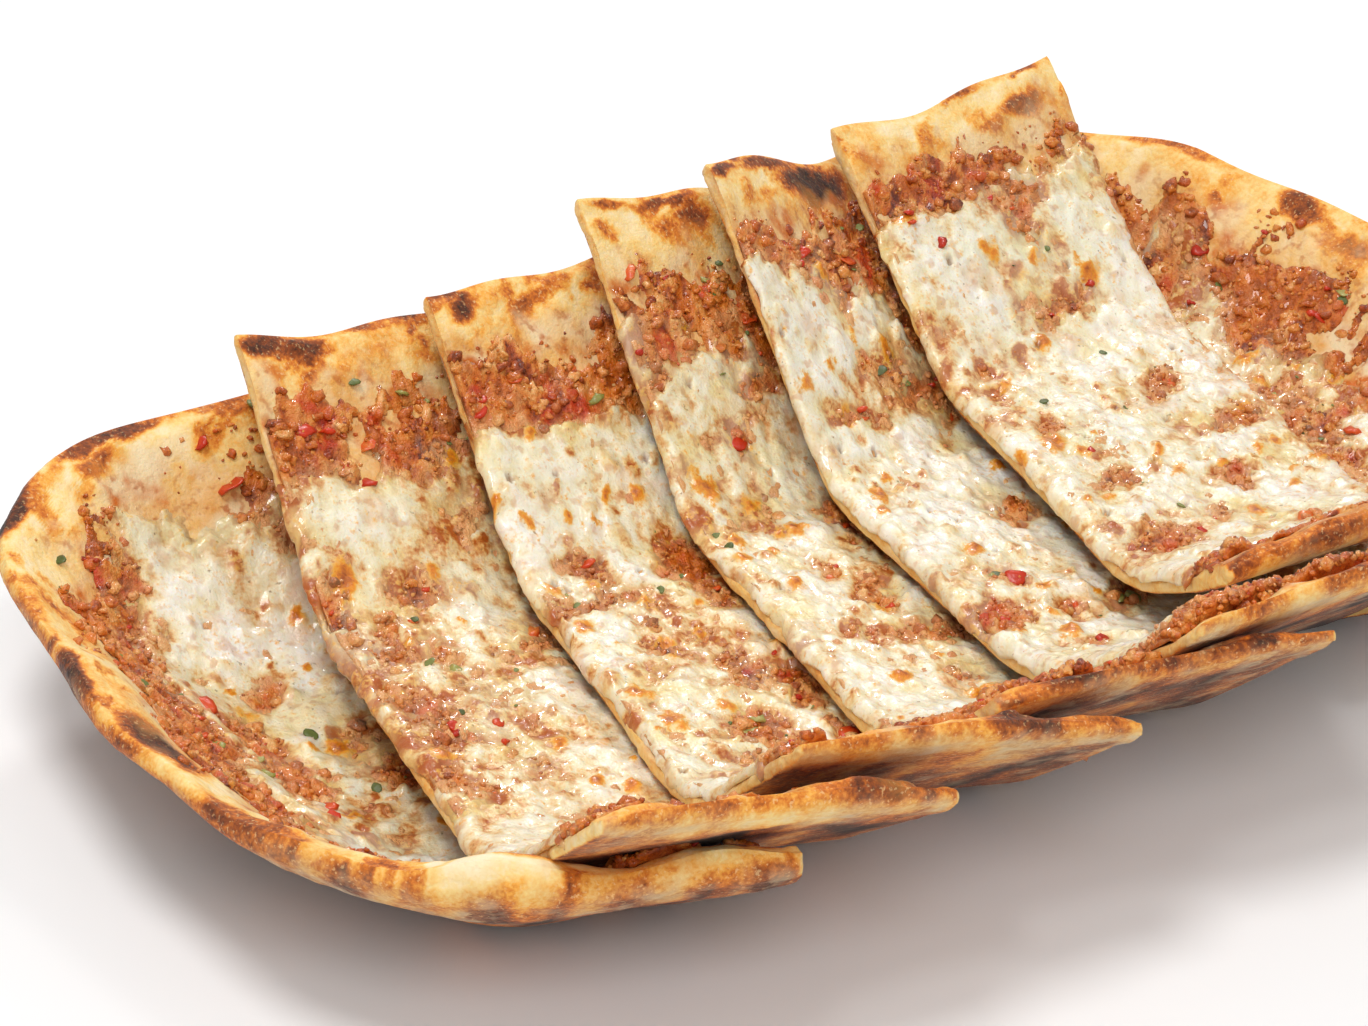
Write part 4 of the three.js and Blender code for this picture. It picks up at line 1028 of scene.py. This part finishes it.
bits = {
    "slice_2": dict(
        tomato=[(0.12, 0.91, 3.0), (0.2, 0.905, 2.6), (0.29, 0.86, 3.0), (0.33, 0.89, 2.0),
            (0.62, 0.665, 2.2)],
        parsley=[(0.34, 0.945, 2.0), (0.22, 0.63, 2.0), (0.27, 0.71, 1.2)],
        pepper=[(0.3, 0.62, 2.0), (0.5, 0.93, 2.2)]),
    "slice_3": dict(
        tomato=[(0.22, 0.9, 2.2), (0.45, 0.91, 2.4), (0.24, 0.725, 3.0), (0.05, 0.88, 2.4),
            (0.62, 0.65, 2.6), (0.45, 0.345, 3.0), (0.66, 0.355, 3.0)],
        parsley=[(0.42, 0.655, 1.4), (0.1, 0.65, 1.2), (0.6, 0.41, 1.6)],
        pepper=[(0.36, 0.39, 3.0), (0.5, 0.875, 2.4), (0.4, 0.4, 2.0)]),
    "slice_4": dict(
        tomato=[(0.1, 0.93, 2.2), (0.53, 0.88, 2.6), (0.3, 0.78, 2.4), (0.34, 0.59, 2.6),
            (0.38, 0.91, 2.0)],
        parsley=[(0.5, 0.93, 1.6), (0.42, 0.905, 1.6), (0.04, 0.655, 1.8), (0.04, 0.68, 1.4),
            (0.33, 0.835, 1.2)],
        pepper=[(0.42, 0.92, 2.0)]),
    "slice_5": dict(
        tomato=[(0.32, 0.905, 2.6), (0.55, 0.895, 3.0), (0.7, 0.737, 3.2), (0.27, 0.455, 2.8),
            (0.27, 0.765, 2.0), (0.3, 0.3, 2.6)],
        parsley=[(0.45, 0.79, 2.2), (0.56, 0.775, 1.6), (0.22, 0.47, 1.6), (0.7, 0.92, 1.8)],
        pepper=[(0.62, 0.38, 3.0), (0.55, 0.385, 2.0)]),
    "slice_6": dict(
        tomato=[(0.65, 0.22, 2.6), (0.75, 0.57, 2.4), (0.2, 0.84, 1.8), (0.12, 0.87, 1.8)],
        parsley=[(0.62, 0.8, 1.8), (0.24, 0.605, 2.0), (0.35, 0.335, 1.8), (0.6, 0.65, 1.4),
            (0.5, 0.545, 1.2)],
        pepper=[(0.3, 0.4, 2.0)]),
    "left_end": dict(
        tomato=[(0.4, 0.82, 3.4), (0.62, 0.3, 3.2), (0.47, 0.9, 2.6), (0.3, -0.42, 2.4), (0.55, -0.1, 2.2),
            (0.24, -0.5, 2.2), (0.7, 0.2, 2.0)],
        parsley=[(0.42, 0.2, 2.0), (0.4, -0.02, 1.7), (0.3, 0.95, 2.2), (0.84, 0.55, 1.6),
            (0.81, 0.66, 1.6), (0.8, 0.25, 1.6), (0.2, -0.4, 2.0)],
        pepper=[(0.7, 0.1, 2.0), (0.62, 0.02, 1.7)]),
    "right_end": dict(
        tomato=[(0.66, 0.62, 2.4), (0.55, -0.05, 3.0), (0.72, 0.3, 2.0)],
        parsley=[(0.63, 0.52, 1.8), (0.58, 0.18, 2.0), (0.78, 0.28, 1.6), (0.5, -0.4, 1.6)],
        pepper=[(0.8, 0.3, 2.0)]),
}


bitLook = {
    "tomato": dict(flat=0.3, sink=-0.18, seed=21, extra=12, extraSize=1.3, share=0.75),
    "pepper": dict(flat=0.34, sink=-0.15, seed=22, extra=3, extraSize=0.9, share=0.7),
    "parsley": dict(flat=0.16, sink=0.15, seed=23, extra=9, extraSize=0.6, share=0.6),
}


def listedPlaces(kind):   # the ones listed for each piece, and a few more by chance
    look = bitLook[kind]
    rng = np.random.default_rng(look["seed"])
    spots = []
    for p in pieces:
        chosen = bits[p["name"]][kind]
        u = np.array([c[0] for c in chosen])
        w = np.array([p["row"](c[1]) for c in chosen])
        size = np.array([c[2] for c in chosen]) * look["share"]
        moreU, moreW = scatterPlaces(p, look["extra"] * 12, rng)
        _, _, _, _, melt, room = toppingAt(p, moreU, moreW)
        ok = np.flatnonzero((melt < 0.25) & (room > 0))[:look["extra"]]
        u, w = np.append(u, moreU[ok]), np.append(w, moreW[ok])
        size = np.append(size, rng.uniform(0.4, 1.0, len(ok)) * look["extraSize"])
        s, base, meat, cheese, melt, _ = toppingAt(p, u, w)
        height = base + np.maximum(np.maximum(meat, np.where(melt > 0, cheese, -9)), -0.2)
        height = height + look["sink"] * size
        spots += spotsOf(height, size, look["flat"], rng, s, sauceOn(p, s, melt))
    return spots


meatFinish = makeMeatFinish()
kinds = [("dough", makeDough, makeDoughFinish()), ("meat", makeMeat, meatFinish),
         ("cheese", makeCheese, makeCheeseFinish())]
for p in pieces:
    triangles = 0
    for slotName, make, finish in kinds:
        thing = make(p)
        thing.data.materials.append(finish)
        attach(thing, "root")
        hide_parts(slotName + "_" + p["name"])
        triangles += len(thing.data.polygons) * 2
    print(p["name"], "made:", triangles, "triangles")

tomatoFinish = makeBitFinish(
    "tomato", [(0.0, "a8220c"), (0.45, "c8340f"), (0.8, "d4541c"), (1.0, "de8840")], gloss=0.22)
pepperFinish = makeBitFinish(
    "green pepper", [(0.0, "7f8038"), (0.5, "a29a52"), (1.0, "c0b478")], gloss=0.22)
parsleyFinish = makeBitFinish(
    "parsley", [(0.0, "3f4a1c"), (0.5, "5f6b30"), (1.0, "8c8e4c")], gloss=0.35, subsurface=0.05)
lumps = {
    "coarse": dict(lumpSize=0.95, lumpDepth=2.3, seed=3),
    "fine": dict(lumpSize=0.8, lumpDepth=1.0, seed=4, faces=1),
    "tomato": dict(lumpSize=1.1, lumpDepth=2.8, seed=5),
    "pepper": dict(lumpSize=1.2, lumpDepth=2.4, seed=6),
    "parsley": dict(lumpSize=0.9, lumpDepth=0.8, seed=7),
}
crumbs = strew("mince_crumbs", mincePlaces(**crumbLook["coarse"]), meatFinish, **lumps["coarse"])
fineCrumbs = strew("mince_fine_crumbs", mincePlaces(**crumbLook["fine"]), meatFinish, **lumps["fine"])
tomato = strew("tomato_bits", listedPlaces("tomato"), tomatoFinish, **lumps["tomato"])
pepper = strew("pepper_bits", listedPlaces("pepper"), pepperFinish, **lumps["pepper"])
parsley = strew("parsley_flecks", listedPlaces("parsley"), parsleyFinish, **lumps["parsley"])
for thing in (crumbs, fineCrumbs, tomato, pepper, parsley):
    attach(thing, "root")
    print(thing.name, len(thing.data.polygons), "faces")


def makeFloor():
    mesh = bpy.data.meshes.new("floor")
    half = 3   # metres
    corners = [(-half, -half, 0), (half, -half, 0), (half, half, 0), (-half, half, 0)]
    mesh.from_pydata(corners, [], [(0, 1, 2, 3)])
    floor = addObject("floor", mesh)
    material = bpy.data.materials.new("pale floor")
    material.use_nodes = True
    setInputs(material.node_tree.nodes["Principled BSDF"], {
        "Base Color": (0.95, 0.95, 0.95, 1), "Roughness": 0.9, "Specular IOR Level": 0.1})
    mesh.materials.append(material)


def addLight(name, place, size, power, glints=True):
    lamp = bpy.data.lights.new(name, "AREA")
    lamp.shape, lamp.size, lamp.energy = "DISK", size, power
    thing = addObject(name, lamp)
    thing.location = place
    thing.visible_glossy = glints
    thing.rotation_euler = (-Vector(place)).to_track_quat("-Z", "Y").to_euler()


skyStrength = 0.42
lights = {
    "key": dict(place=(-0.28, -0.06, 0.9), size=0.3, power=3.5),
    "back": dict(place=(0.4, 0.74, 0.68), size=0.16, power=2.9),
    "top": dict(place=(0.3, -0.25, 0.9), size=0.16, power=0.7),
    "fill": dict(place=(-0.28, -0.74, 0.78), size=0.5, power=3.1, glints=False),
    "front": dict(place=(0.1, -0.8, 0.62), size=0.1, power=0.16),
}
makeFloor()
world = bpy.data.worlds.new("studio")
bpy.context.scene.world = world
world.use_nodes = True
setInputs(world.node_tree.nodes["Background"], {0: (1, 1, 1, 1), 1: skyStrength})
for name, look in lights.items():
    addLight(name, **look)
bpy.context.scene.view_settings.view_transform = "Standard"

cameraLook = dict(
    azimuth=-25.8, elevation=31.3, distance=892, target=(-7.79, 42.23, -2.0), roll=1.1, lens=130.74)
a, e, r = [math.radians(cameraLook[k]) for k in ("azimuth", "elevation", "roll")]
back = Vector((math.sin(a) * math.cos(e), -math.cos(a) * math.cos(e), math.sin(e)))
right = Vector((math.cos(a), math.sin(a), 0))
up = Vector((-math.sin(a) * math.sin(e), math.cos(a) * math.sin(e), math.cos(e)))
rolledRight = right * math.cos(r) + up * math.sin(r)
rolledUp = up * math.cos(r) - right * math.sin(r)
lens = bpy.data.cameras.new("camera")
lens.lens = cameraLook["lens"]
lens.sensor_width = 36
lens.sensor_fit = "HORIZONTAL"
lens.clip_start, lens.clip_end = 0.01, 20
camera = addObject("camera", lens)
turn = Matrix((rolledRight, rolledUp, back)).transposed().to_4x4()
place = Vector(cameraLook["target"]) + back * cameraLook["distance"]
camera.matrix_world = Matrix.Translation(place * mm) @ turn
bpy.context.scene.camera = camera

bpy.context.view_layer.update()
